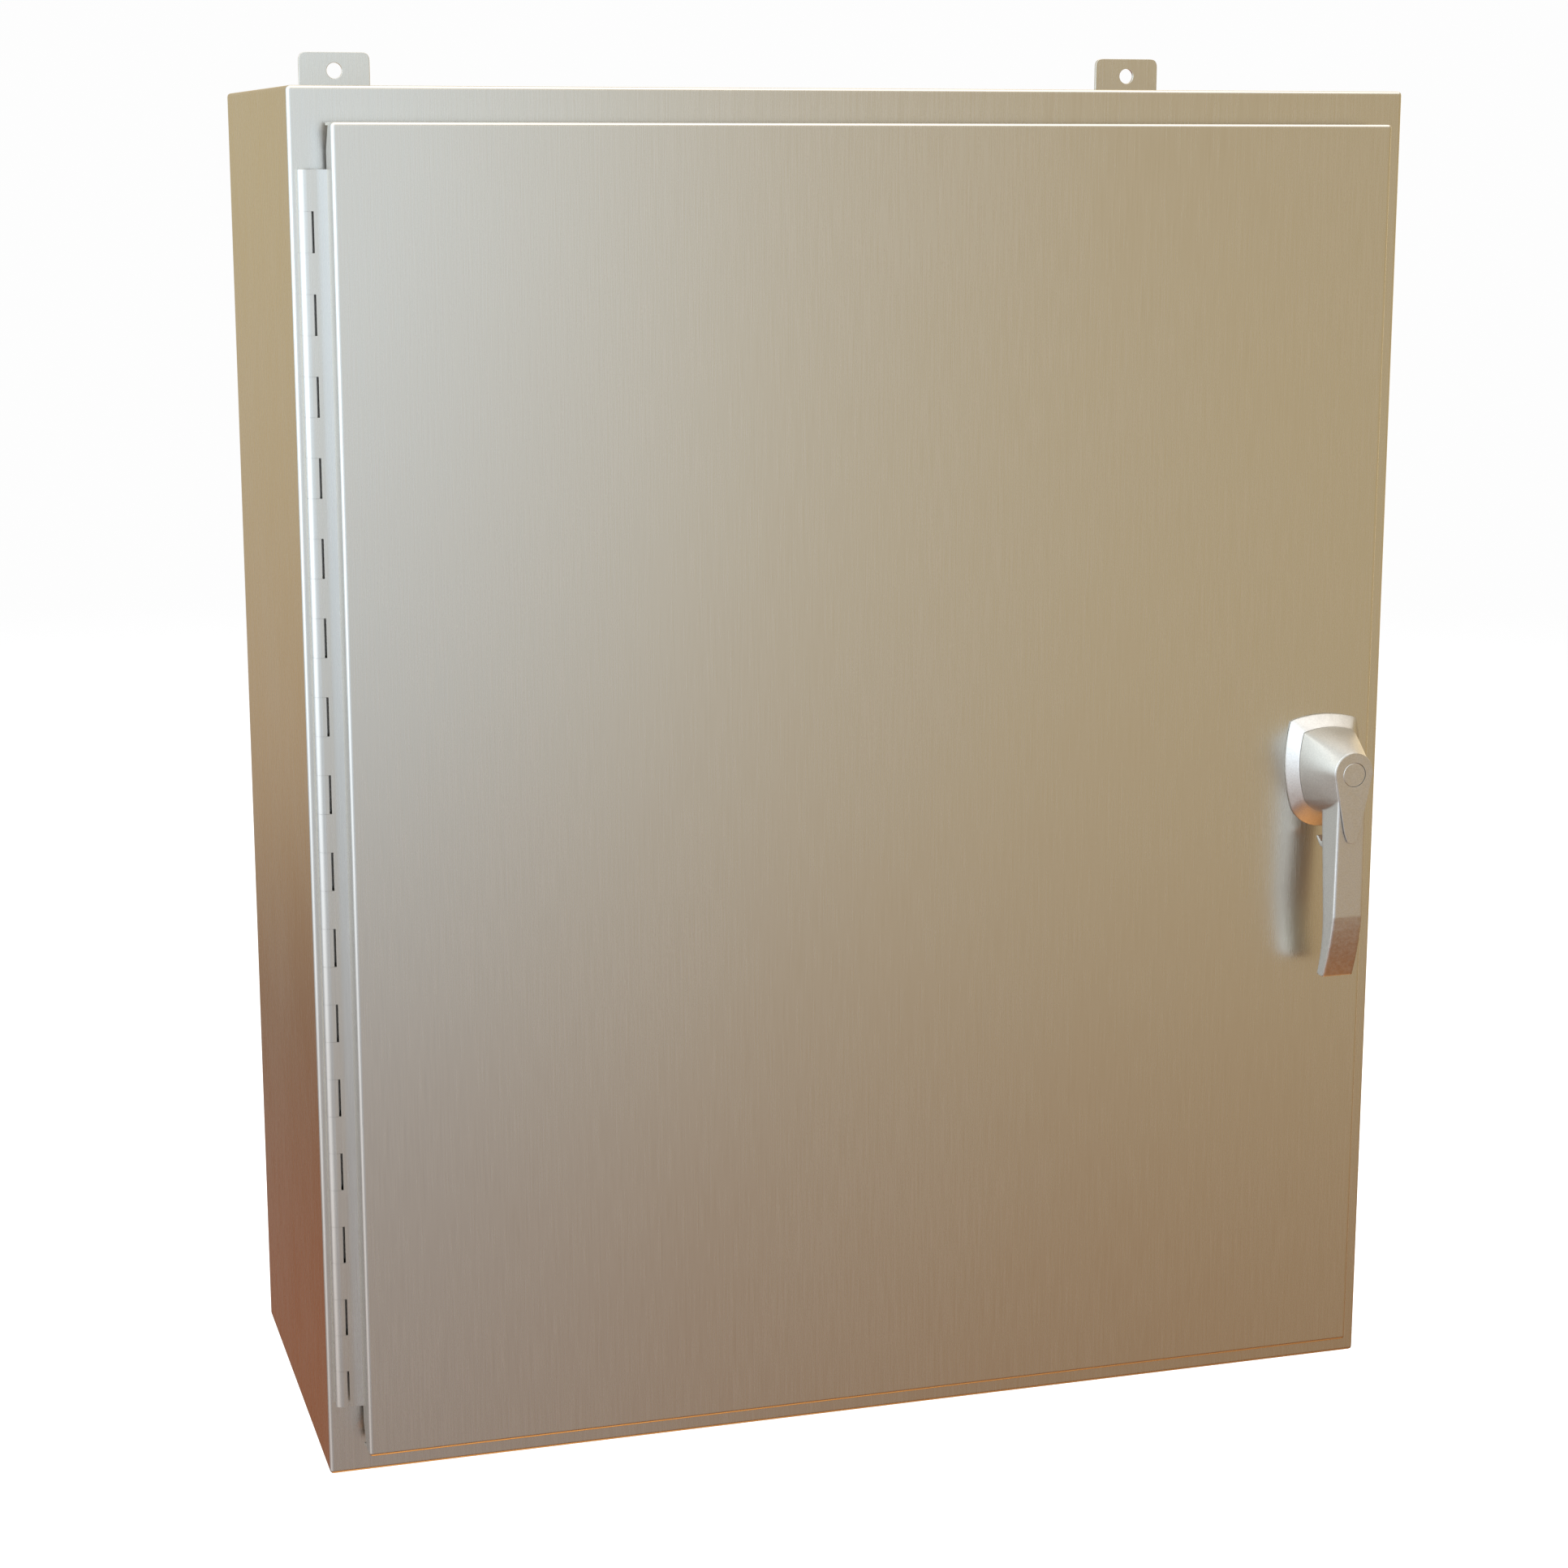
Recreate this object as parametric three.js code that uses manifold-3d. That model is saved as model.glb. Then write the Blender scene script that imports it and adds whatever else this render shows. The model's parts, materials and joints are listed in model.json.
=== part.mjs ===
// Fused disconnect switch in a wall-mount stainless enclosure. Millimetres, +Z up, front towards -Y.
// The origin is the middle of the face that lies against the wall.
import * as THREE from "three";
import { mergeVertices } from "three/addons/utils/BufferGeometryUtils.js";
import { ConvexGeometry } from "three/addons/geometries/ConvexGeometry.js";
import Module from "manifold-3d";

const wasm = await Module();
wasm.setup();

// ---- Driving dimensions ----
const INCH = 25.4;
const GAP = 0.3;                       // air between pieces that touch or bolt together

const BOX_W = 30 * INCH;
const BOX_H = 36 * INCH;
const BOX_D = 12 * INCH;
const WALL = 2;                        // enclosure sheet
const FRONT = -BOX_D;                  // plane of the front flange
const LIP_INSET = 1.25 * INCH;         // from the box sides to the outside of the lip
const LIP_OUT = 21.9;                  // the lip stands this far out of the flange

const DOOR_SHEET = 1.9;
const DOOR_MARGIN = 22.3;              // from the box sides to the door sides
const DOOR_PROUD = 30;                 // door face in front of the flange
const DOOR_PAN = 22;                   // depth of the folded door
const DOOR_FACE = FRONT - DOOR_PROUD;
const DOOR_INSIDE = DOOR_FACE + DOOR_SHEET;
const DOOR_X = BOX_W / 2 - DOOR_MARGIN;
const DOOR_Z = BOX_H / 2 - DOOR_MARGIN;
const LIP_X = BOX_W / 2 - LIP_INSET;
const LIP_Z = BOX_H / 2 - LIP_INSET;

const HINGE_LENGTH = 32 * INCH;
const KNUCKLE = INCH;
const BARREL_R = 4.1;
const HINGE_X = -BOX_W / 2 + 8.6;
const HINGE_Y = FRONT - BARREL_R - GAP;
const LEAF = 1.4;                      // hinge sheet
const NOTCH = 5.7;                     // leaf notch edge from the hinge axis
const HINGE_PIN_R = 2.5;

const FOOT_W = 2 * INCH;
const FOOT_SPACING = 24 * INCH;
const FOOT_RISE = 28.8;
const FOOT_SHEET = 2.7;
const FOOT_LEG = 28;
const FOOT_HOLE_R = 5.55;
const FOOT_HOLE_Z = 15.9;
const FOOT_CORNER = 4.8;

const PANEL_W = 27 * INCH;
const PANEL_H = 33 * INCH;
const PANEL_SHEET = 2.7;
const PANEL_FRONT = -40;
const STUD_X = 12.75 * INCH;
const STUD_Z = 15.75 * INCH;

const HANDLE_X = 322.7;                // handle and switch shaft axis, at half height
const SPINDLE_R = 6;
const STEM_R = 4.5;                    // thinner end of the spindle
const HUB_BACK = DOOR_FACE - 9.6;
const HUB_FRONT = DOOR_FACE - 48.2;
const ARM_W = 21.6;
const ARM_END = -147;

const CAM_R = 17;                      // rod pins from the spindle axis
const CAM_PIN_R = 2.5;
const HALF = Math.SQRT1_2;
const CAM_FRONT = -297.8;
const CAM_SHEET = 3;
const ROD_FRONT = -301.8;
const ROD_SHEET = 3;
const ROD_X = 14.5;                    // rod centre from the spindle axis
const ROLLER_R = 6;
const ROLLER_Z = 433;
const ROLLER_Y = FRONT + WALL + GAP + ROLLER_R;

const POLE_PITCH = 68;
const POLE_X = [95, 95 + POLE_PITCH, 95 + 2 * POLE_PITCH];
const BASE_FRONT = -64;
const STRAP = 4;
const PIVOT_Y = -105;                  // blade pivot
const PIVOT_Z = 95;
const BLADE_T = 4;
const LEAVES = 2.2;                    // thickness of a contact leaf
const FUSE_R = 20.6;
const FUSE_BODY = 76;
const FUSE_LENGTH = 146;
const FUSE_Z = -15;
const FUSE_BLADE_T = 4.8;
const FUSE_BLADE_W = 28.6;

const SHAFT_CRANK_R = 15 / HALF;       // crank pin of the drive shaft
const ARM_CRANK_R = 30;                // crank pin of the crossbar arm
const CRANK_PIN_R = 3;
const SLIDE_BACK = -142;
const SLIDE_SHEET = 3;

// ---- Materials ----
const steel = (colour, roughness) =>
  new THREE.MeshStandardMaterial({ color: colour, roughness, metalness: 1 });
const plastic = (colour, roughness) =>
  new THREE.MeshStandardMaterial({ color: colour, roughness, metalness: 0 });

const FINISH = {
  stainless: () => steel(0xb3aa98, 0.35),
  cast: () => steel(0xb9bcc0, 0.45),
  zinc: () => steel(0xc2c6c8, 0.4),
  painted: () => plastic(0xe9e9e4, 0.5),
  rubber: () => plastic(0x1c1c1d, 0.85),
  black: () => plastic(0x26272a, 0.55),
  red: () => plastic(0x8d2b23, 0.5),
  grey: () => plastic(0x8b8f93, 0.6),
  clear: () => plastic(0xcfdde4, 0.1),
  nylon: () => plastic(0xe6e2d4, 0.5),
  copper: () => steel(0xb8754a, 0.35),
  tinned: () => steel(0xc9c8c2, 0.35),
  fuse: () => plastic(0xd9d2bd, 0.7),
};

// ---- Solids ----
function solid(geometry) {
  const bare = geometry.index ? geometry.toNonIndexed() : geometry.clone();
  bare.deleteAttribute("normal");
  bare.deleteAttribute("uv");
  const merged = mergeVertices(bare, 1e-4);
  return new wasm.Manifold(new wasm.Mesh({
    numProp: 3,
    vertProperties: new Float32Array(merged.attributes.position.array),
    triVerts: new Uint32Array(merged.index.array),
  }));
}

function box(x0, x1, y0, y1, z0, z1) {
  const geometry = new THREE.BoxGeometry(x1 - x0, y1 - y0, z1 - z0);
  return solid(geometry.translate((x0 + x1) / 2, (y0 + y1) / 2, (z0 + z1) / 2));
}

function turned(axis, radius, from, to, centre, sides) {
  const geometry = new THREE.CylinderGeometry(radius, radius, to - from, sides);
  geometry.rotateY(Math.PI / sides);
  if (axis === "x") geometry.rotateZ(-Math.PI / 2).translate((from + to) / 2, centre[0], centre[1]);
  if (axis === "y") geometry.translate(0, (from + to) / 2, 0).translate(centre[0], 0, centre[1]);
  if (axis === "z") geometry.rotateX(Math.PI / 2).translate(centre[0], centre[1], (from + to) / 2);
  return solid(geometry);
}

function outline(points) {
  return new THREE.Shape(points.map(([a, b]) => new THREE.Vector2(a, b)));
}

// A shape drawn in X and Z, from y0 back to y1.
function slabXZ(shape, y0, y1, curveSegments = 6) {
  const geometry = new THREE.ExtrudeGeometry(shape, { depth: y1 - y0, bevelEnabled: false, curveSegments });
  return solid(geometry.rotateX(Math.PI / 2).translate(0, y1, 0));
}

// A shape drawn in Y and Z, from x0 to x1.
function slabYZ(shape, x0, x1, curveSegments = 6) {
  const geometry = new THREE.ExtrudeGeometry(shape, { depth: x1 - x0, bevelEnabled: false, curveSegments });
  return solid(geometry.rotateX(Math.PI / 2).rotateZ(Math.PI / 2).translate(x0, 0, 0));
}

function join(...solids) {
  return solids.reduce((sum, next) => sum.add(next));
}

function cut(body, ...tools) {
  return tools.reduce((rest, tool) => rest.subtract(tool), body);
}

function mesh(name, body, finish) {
  const { vertProperties, triVerts } = body.getMesh();
  const geometry = new THREE.BufferGeometry();
  geometry.setAttribute("position", new THREE.BufferAttribute(vertProperties, 3));
  geometry.setIndex(new THREE.BufferAttribute(triVerts, 1));
  geometry.computeVertexNormals();
  const made = new THREE.Mesh(geometry, FINISH[finish]());
  made.name = name;
  return made;
}

function group(x, y, z, ...children) {
  const made = new THREE.Group();
  made.position.set(x, y, z);
  made.add(...children);
  return made;
}

// ---- Enclosure ----
function cabinetShell() {
  const [x, z] = [BOX_W / 2, BOX_H / 2];
  const outer = box(-x, x, FRONT, 0, -z, z);
  const inner = box(-x + WALL, x - WALL, FRONT + WALL, -WALL, -z + WALL, z - WALL);
  const lip = box(-LIP_X, LIP_X, FRONT - LIP_OUT, FRONT + WALL, -LIP_Z, LIP_Z);
  const mouth = box(-LIP_X + WALL, LIP_X - WALL, FRONT - 2 * LIP_OUT, FRONT + 2 * WALL, -LIP_Z + WALL, LIP_Z - WALL);
  return mesh("cabinet_shell", cut(join(outer, lip), inner, mouth), "stainless");
}

// An angle whose upright leg lies on the wall, with a round mounting hole.
function mountingFoot(name, x, up) {
  const half = FOOT_W / 2;
  const shape = new THREE.Shape();
  shape.moveTo(-half, 0);
  shape.lineTo(half, 0);
  shape.lineTo(half, FOOT_RISE - FOOT_CORNER);
  shape.absarc(half - FOOT_CORNER, FOOT_RISE - FOOT_CORNER, FOOT_CORNER, 0, Math.PI / 2);
  shape.absarc(FOOT_CORNER - half, FOOT_RISE - FOOT_CORNER, FOOT_CORNER, Math.PI / 2, Math.PI);
  shape.lineTo(-half, 0);
  const upright = slabXZ(shape, -FOOT_SHEET, 0, 4);
  const hole = turned("y", FOOT_HOLE_R, -2 * FOOT_SHEET, FOOT_SHEET, [0, FOOT_HOLE_Z], 16);
  const sole = box(-half, half, -FOOT_LEG, 0, 0, FOOT_SHEET);
  const foot = mesh(name, join(cut(upright, hole), sole), "stainless");
  foot.rotation.y = up > 0 ? 0 : Math.PI;
  foot.position.set(x, 0, up * (BOX_H / 2 + GAP));
  return foot;
}

function mountingFeet() {
  const sides = [["left", -1], ["right", 1]];
  const ends = [["top", 1], ["bottom", -1]];
  return ends.flatMap(([end, up]) => sides.map(([side, sign]) =>
    mountingFoot(`mounting_foot_${end}_${side}`, sign * FOOT_SPACING / 2, up)));
}

// ---- Continuous hinge, about its own axis ----
const knuckles = Math.round(HINGE_LENGTH / KNUCKLE);

function knuckleStart(i) {
  return HINGE_LENGTH / 2 - (i + 1) * KNUCKLE + GAP / 2;
}

// A leaf carries every second knuckle and is notched where the other leaf's knuckles turn.
function leafWithKnuckles(first, plate, reach) {
  let leaf = plate;
  const barrel = (z) => turned("z", BARREL_R, z, z + KNUCKLE - GAP, [0, 0], 10);
  for (let i = 0; i < knuckles; i += 1) {
    const z = knuckleStart(i);
    if (i % 2 === first) leaf = leaf.add(barrel(z));
    else leaf = leaf.subtract(box(-reach, NOTCH, -reach, reach, z - GAP, z + KNUCKLE));
  }
  return leaf.subtract(turned("z", HINGE_PIN_R + 2 * GAP, -HINGE_LENGTH, HINGE_LENGTH, [0, 0], 10));
}

function hingeBodyLeaf() {
  const far = -LIP_X - GAP - HINGE_X;
  const plate = box(0, far, BARREL_R - LEAF, BARREL_R, -HINGE_LENGTH / 2, HINGE_LENGTH / 2);
  return mesh("hinge_body_leaf", leafWithKnuckles(1, plate, 3 * BARREL_R), "stainless");
}

function hingeDoorLeaf() {
  const far = -DOOR_X - GAP - HINGE_X;
  const plate = box(0, far, -BARREL_R, LEAF - BARREL_R, -HINGE_LENGTH / 2, HINGE_LENGTH / 2);
  return mesh("hinge_door_leaf", leafWithKnuckles(0, plate, 3 * BARREL_R), "stainless");
}

function hingePin() {
  const pin = turned("z", HINGE_PIN_R, -HINGE_LENGTH / 2, HINGE_LENGTH / 2, [0, 0], 10);
  return mesh("hinge_pin", pin, "stainless");
}

// ---- Door ----
function doorPan() {
  const rear = DOOR_FACE + DOOR_PAN;
  const outer = box(-DOOR_X, DOOR_X, DOOR_FACE, rear, -DOOR_Z, DOOR_Z);
  const [x, z] = [DOOR_X - DOOR_SHEET, DOOR_Z - DOOR_SHEET];
  const hollow = box(-x, x, DOOR_INSIDE, rear + DOOR_PAN, -z, z);
  const hole = turned("y", SPINDLE_R + 2.6, DOOR_FACE - 5, DOOR_INSIDE + 5, [HANDLE_X, 0], 16);
  return mesh("door_pan", cut(outer, hollow, hole), "stainless");
}

function doorGasket() {
  const [y0, y1] = [DOOR_INSIDE + GAP, FRONT - LIP_OUT - GAP];
  const width = 7.5;
  const [x, z] = [LIP_X + 4, LIP_Z + 4];
  const outer = box(-x, x, y0, y1, -z, z);
  const inner = box(-x + width, x - width, y0 - 1, y1 + 1, -z + width, z - width);
  return mesh("door_gasket", cut(outer, inner), "rubber");
}

function doorStiffener() {
  const [x, length, width, depth, lip] = [-20, 700, 40, 16, 14];
  const back = DOOR_INSIDE + GAP;
  const [w, t] = [width / 2, DOOR_SHEET];
  const shape = [
    [-w - lip, 0], [-w + t, 0], [-w + t, depth - t], [w - t, depth - t], [w - t, 0], [w + lip, 0],
    [w + lip, t], [w, t], [w, depth], [-w, depth], [-w, t], [-w - lip, t],
  ];
  const geometry = new THREE.ExtrudeGeometry(outline(shape), { depth: length, bevelEnabled: false });
  return mesh("door_stiffener", solid(geometry.translate(x, back, -length / 2)), "stainless");
}

function documentPocket() {
  const [x0, x1, z0, z1, t] = [-300, -90, -260, -60, 2.5];
  const [y0, y1] = [DOOR_INSIDE + GAP, DOOR_INSIDE + GAP + 20];
  const outer = box(x0, x1, y0, y1, z0, z1);
  const inner = box(x0 + t, x1 - t, y0 + t, y1 - t, z0 + t, z1 + t);
  const dip = turned("y", 45, y0 + 2 * t, y1 + t, [(x0 + x1) / 2, z1], 16);
  return mesh("document_pocket", cut(outer, inner, dip), "grey");
}

// ---- Handle, about the spindle axis ----
// The skirt outline: a shield with an arched top, bowed sides and a round bottom.
function shieldPoints(scale) {
  const half = [
    [0, 33], [14, 31.8], [25, 29], [27.6, 16], [28.4, 2], [27.6, -12], [25, -25], [19, -37], [10, -44.5], [0, -47],
  ];
  const other = half.slice(1, -1).reverse().map(([x, z]) => [-x, z]);
  return [...half, ...other].map(([x, z]) => [x * scale, (z + 7) * scale - 7]);
}

function teardropPoints(grow) {
  const [bigR, tipR, tipZ] = [14.2 + grow, 5.4 + grow, -44.4];
  const lean = Math.asin((bigR - tipR) / -tipZ);
  const arc = (r, z, from, to, n) => Array.from({ length: n + 1 }, (_, i) => {
    const a = from + (to - from) * i / n;
    return [r * Math.cos(a), z + r * Math.sin(a)];
  });
  return [...arc(bigR, 0, -lean, Math.PI + lean, 12), ...arc(tipR, tipZ, Math.PI + lean, 2 * Math.PI - lean, 5)];
}

function hullBetween(backPoints, yBack, frontPoints, yFront) {
  const points = [
    ...backPoints.map(([x, z]) => new THREE.Vector3(x, yBack, z)),
    ...frontPoints.map(([x, z]) => new THREE.Vector3(x, yFront, z)),
  ];
  return solid(new ConvexGeometry(points));
}

function handleSeal() {
  const [y0, y1] = [DOOR_FACE - GAP - 1, DOOR_FACE - GAP];
  const plate = slabXZ(outline(shieldPoints(0.98)), y0, y1);
  const hole = turned("y", SPINDLE_R + 2.6, y0 - 1, y1 + 1, [0, 0], 16);
  return mesh("handle_seal", cut(plate, hole), "rubber");
}

function handleEscutcheon() {
  const [back, front] = [DOOR_FACE - 2 * GAP - 1, HUB_BACK + GAP];
  const skirt = hullBetween(shieldPoints(1), back, shieldPoints(0.78), front);
  const hole = turned("y", SPINDLE_R + 2.6, front - 1, back + 1, [0, 0], 16);
  return mesh("handle_escutcheon", cut(skirt, hole), "cast");
}

// Side view of the lever arm: straight front, a crease, a tail bent towards the door, a bowed back.
function armSolid() {
  const crease = -102;
  const shape = new THREE.Shape();
  shape.moveTo(HUB_FRONT, 0);
  shape.lineTo(HUB_FRONT + 27, -4);
  shape.quadraticCurveTo(HUB_FRONT + 29, -30, HUB_FRONT + 22.5, -66);
  shape.quadraticCurveTo(HUB_FRONT + 17.5, -102, HUB_FRONT + 25, ARM_END + 3);
  shape.lineTo(HUB_FRONT + 12, ARM_END);
  shape.lineTo(HUB_FRONT, crease);
  return slabYZ(shape, -ARM_W / 2, ARM_W / 2, 5);
}

// The small hook that takes a padlock shackle behind the arm.
function armHook() {
  const y = HUB_FRONT + 26;
  const shape = outline([[y, -46], [y + 7, -43], [y + 8.5, -45.5], [y + 2, -52], [y - 3, -52]]);
  return slabYZ(shape, -3, 3);
}

function handleLever() {
  const hub = hullBetween(shieldPoints(0.76), HUB_BACK, teardropPoints(0), HUB_FRONT);
  const socket = turned("y", SPINDLE_R + GAP, HUB_BACK - 25, HUB_BACK + 1, [0, 0], 12);
  return mesh("handle_lever", cut(join(hub, armSolid(), armHook()), socket), "cast");
}

function handleCap() {
  const [y0, y1] = [HUB_FRONT - GAP - 1.5, HUB_FRONT - GAP];
  const plate = slabXZ(outline(teardropPoints(-0.2)), y0, y1);
  const seat = turned("y", 8.9, y0 - 1, y1 + 1, [0, 0], 16);
  return mesh("handle_cap", cut(plate, seat), "cast");
}

function lockPlug() {
  const plug = turned("y", 8.5, HUB_FRONT - GAP - 1.4, HUB_FRONT - GAP, [0, 0], 16);
  return mesh("lock_plug", plug, "cast");
}

function spindleBush() {
  const [y0, y1] = [HUB_BACK + GAP + 1, -322];
  const sleeve = turned("y", SPINDLE_R + 2.2, y0, y1, [0, 0], 16);
  const nut = turned("y", 13, DOOR_INSIDE + GAP, DOOR_INSIDE + 8, [0, 0], 6);
  const bore = turned("y", SPINDLE_R + GAP + 0.2, y0 - 1, y1 + 1, [0, 0], 16);
  return mesh("spindle_bush", cut(join(sleeve, nut), bore), "zinc");
}

const SHOULDER = CAM_FRONT - GAP;
const DOG_FRONT = -288;
const DOG_BACK = -279.6;

function spindle() {
  const thick = turned("y", SPINDLE_R, HUB_BACK - 24, SHOULDER, [0, 0], 12);
  const stem = turned("y", STEM_R, SHOULDER - 1, DOG_FRONT + 1, [0, 0], 12);
  const dog = box(-2, 2, DOG_FRONT, DOG_BACK, -9, 9);
  return mesh("spindle", join(thick, stem, dog), "zinc");
}

function latchCam() {
  const [y0, y1, ear] = [CAM_FRONT, CAM_FRONT + CAM_SHEET, 5.5];
  const [a, e] = [CAM_R * HALF, ear * HALF];
  const arm = outline([[a + e, a - e], [a - e, a + e], [-a - e, e - a], [e - a, -a - e]]);
  const parts = [slabXZ(arm, y0, y1), turned("y", 10, y0, y1, [0, 0], 16)];
  for (const side of [1, -1]) {
    parts.push(turned("y", ear, y0, y1, [side * a, side * a], 12));
    parts.push(turned("y", CAM_PIN_R, ROD_FRONT - 1.5, y0 + 1, [side * a, side * a], 10));
  }
  const bore = turned("y", STEM_R + GAP, y0 - 1, y1 + 1, [0, 0], 12);
  return mesh("latch_cam", cut(join(...parts), bore), "zinc");
}

function camNut() {
  const [y0, y1] = [CAM_FRONT + CAM_SHEET + GAP, DOG_FRONT - GAP];
  const nut = turned("y", 8, y0, y1, [0, 0], 6);
  const bore = turned("y", STEM_R + GAP, y0 - 1, y1 + 1, [0, 0], 12);
  return mesh("cam_nut", cut(nut, bore), "zinc");
}

// ---- Latch rods, about the spindle axis: the lower one is the upper one turned half round ----
function latchRod(name) {
  const [y0, y1] = [ROD_FRONT, ROD_FRONT + ROD_SHEET];
  const pinZ = CAM_R * HALF;
  const [slotX0, slotX1, slotH] = [CAM_R * HALF - CAM_PIN_R - GAP, CAM_R + CAM_PIN_R + GAP, 3.35];
  const yoke = box(slotX0 - 2.6, slotX1 + 2.5, y0, y1, pinZ - slotH - 3.5, pinZ + slotH + 3.5);
  const slot = box(slotX0, slotX1, y0 - 1, y1 + 1, pinZ - slotH, pinZ + slotH);
  const bar = box(ROD_X - 4.5, ROD_X + 4.5, y0, y1, pinZ + slotH + 2, ROLLER_Z - 9);
  const cheeks = [-1, 1].map((side) =>
    box(ROD_X + side * 4.8 - 0.9, ROD_X + side * 4.8 + 0.9, y0, ROLLER_Y + 4, ROLLER_Z - 15, ROLLER_Z + 4));
  const axle = turned("x", 2, ROD_X - 5.7, ROD_X + 5.7, [ROLLER_Y, ROLLER_Z], 10);
  return mesh(name, cut(join(yoke, bar, ...cheeks, axle), slot), "zinc");
}

function latchRoller(name) {
  const wheel = turned("x", ROLLER_R, ROD_X - 3.5, ROD_X + 3.5, [ROLLER_Y, ROLLER_Z], 16);
  const bore = turned("x", 2 + GAP, ROD_X - 5, ROD_X + 5, [ROLLER_Y, ROLLER_Z], 12);
  return mesh(name, cut(wheel, bore), "nylon");
}

function rodGuide(name) {
  const [x0, x1, z0, z1] = [ROD_X - 14, ROD_X + 7.3, 372, 388];
  const block = box(x0, x1, DOOR_INSIDE + GAP, ROD_FRONT + ROD_SHEET + 4, z0, z1);
  const way = box(ROD_X - 5, ROD_X + 5, ROD_FRONT - 0.4, ROD_FRONT + ROD_SHEET + 0.4, z0 - 1, z1 + 1);
  const relief = box(x0 + 5, x1 - 5, DOOR_INSIDE + 6, ROD_FRONT - 5, z0 - 1, z1 + 1);
  return mesh(name, cut(block, way, relief), "nylon");
}

function latchSide(end, up) {
  const made = group(0, 0, 0, latchRod(`${end}_latch_rod`), latchRoller(`${end}_roller`), rodGuide(`${end}_rod_guide`));
  made.rotation.y = up > 0 ? 0 : Math.PI;
  return made;
}

// ---- Mounting panel ----
function mountingPanel() {
  const [x, z] = [PANEL_W / 2, PANEL_H / 2];
  let panel = box(-x, x, PANEL_FRONT, PANEL_FRONT + PANEL_SHEET, -z, z);
  for (const sx of [-1, 1]) {
    for (const sz of [-1, 1]) {
      panel = panel.subtract(turned("y", 5.6, PANEL_FRONT - 1, PANEL_FRONT + 4, [sx * STUD_X, sz * STUD_Z], 12));
    }
  }
  return mesh("mounting_panel", panel, "painted");
}

function panelStud(name, x, z) {
  const collar = turned("y", 8, PANEL_FRONT + PANEL_SHEET + GAP, -WALL - GAP, [0, 0], 12);
  const thread = turned("y", 4.7, PANEL_FRONT - 14, -30, [0, 0], 10);
  const nut = turned("y", 9, PANEL_FRONT - 8.5, PANEL_FRONT - GAP, [0, 0], 6);
  const stud = mesh(name, join(collar, thread, nut), "zinc");
  stud.position.set(x, 0, z);
  return stud;
}

function panelStuds() {
  const corners = [[-1, 1], [1, 1], [-1, -1], [1, -1]];
  return corners.map(([sx, sz], i) => panelStud(`panel_stud_${i + 1}`, sx * STUD_X, sz * STUD_Z));
}

function groundBar() {
  const [x0, x1, z0, z1] = [-60, 60, -312, -298];
  let bar = box(x0, x1, PANEL_FRONT - 16, PANEL_FRONT - GAP, z0, z1);
  for (let i = 0; i < 7; i += 1) {
    bar = bar.subtract(turned("z", 3.2, z0 - 1, z1 + 1, [x0 + 12 + i * 16, PANEL_FRONT - 8], 10));
  }
  return mesh("ground_bar", bar, "copper");
}

// ---- Switch ----
const BASE = { x0: 58, x1: 268, z0: -150, z1: 240, barrierZ: 140, barrierFront: -106 };

function switchBase() {
  const plate = box(BASE.x0, BASE.x1, BASE_FRONT, PANEL_FRONT - GAP, BASE.z0, BASE.z1);
  const barrierX = [BASE.x0 + 2, POLE_X[0] + POLE_PITCH / 2, POLE_X[1] + POLE_PITCH / 2, BASE.x1 - 2];
  const barriers = barrierX.map((x) =>
    box(x - 2, x + 2, BASE.barrierFront, BASE_FRONT + 1, BASE.barrierZ, BASE.z1));
  const low = barrierX.map((x) => box(x - 2, x + 2, BASE_FRONT - 16, BASE_FRONT + 1, BASE.z0, 10));
  return mesh("switch_base", join(plate, ...barriers, ...low), "red");
}

function lineShield() {
  const front = BASE.barrierFront - GAP;
  return mesh("line_shield", box(BASE.x0, BASE.x1, front - 2.5, front, 184, BASE.z1), "clear");
}

// Two leaves standing out of a strap, with a slot of the given width between them.
function clip(slot, z0, z1, yFront) {
  const back = BASE_FRONT - GAP - 1;
  return [-1, 1].map((side) => {
    const near = side * slot / 2;
    const far = side * (slot / 2 + LEAVES);
    return box(Math.min(near, far), Math.max(near, far), yFront, back, z0, z1);
  });
}

function strap(z0, z1) {
  return box(-12, 12, BASE_FRONT - GAP - STRAP, BASE_FRONT - GAP, z0, z1);
}

function lug(z0, z1) {
  const back = BASE_FRONT - GAP - 1;
  const block = box(-14, 14, -100, back, z0, z1);
  const wire = turned("z", 8, z0 - 1, z1 + 1, [0, -84], 12);
  const screw = turned("y", 5.5, -103, -99, [0, (z0 + z1) / 2], 6);
  return join(cut(block, wire), screw);
}

const BLADE_SLOT = BLADE_T + 1.2;
const FUSE_SLOT = FUSE_BLADE_T + 1;

function lineTerminal(name) {
  return mesh(name, join(strap(138, 232), lug(190, 226), ...clip(BLADE_SLOT, 146, 174, -116)), "tinned");
}

function fuseTerminal(name) {
  const ears = clip(BLADE_SLOT, 80, 108, -112);
  const pin = turned("x", 3, -7, 7, [PIVOT_Y, PIVOT_Z], 10);
  return mesh(name, join(strap(22, 112), ...ears, pin, ...clip(FUSE_SLOT, 28, 56, -122)), "tinned");
}

function loadTerminal(name) {
  return mesh(name, join(strap(-140, -54), lug(-134, -100), ...clip(FUSE_SLOT, -86, -58, -122)), "tinned");
}

function fuse(name) {
  const body = turned("z", FUSE_R, FUSE_Z - FUSE_BODY / 2, FUSE_Z + FUSE_BODY / 2, [0, PIVOT_Y], 20);
  const [t, w, l] = [FUSE_BLADE_T / 2, FUSE_BLADE_W / 2, FUSE_LENGTH / 2];
  const blades = box(-t, t, PIVOT_Y - w, PIVOT_Y + w, FUSE_Z - l, FUSE_Z + l);
  return mesh(name, join(body, blades), "fuse");
}

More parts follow.
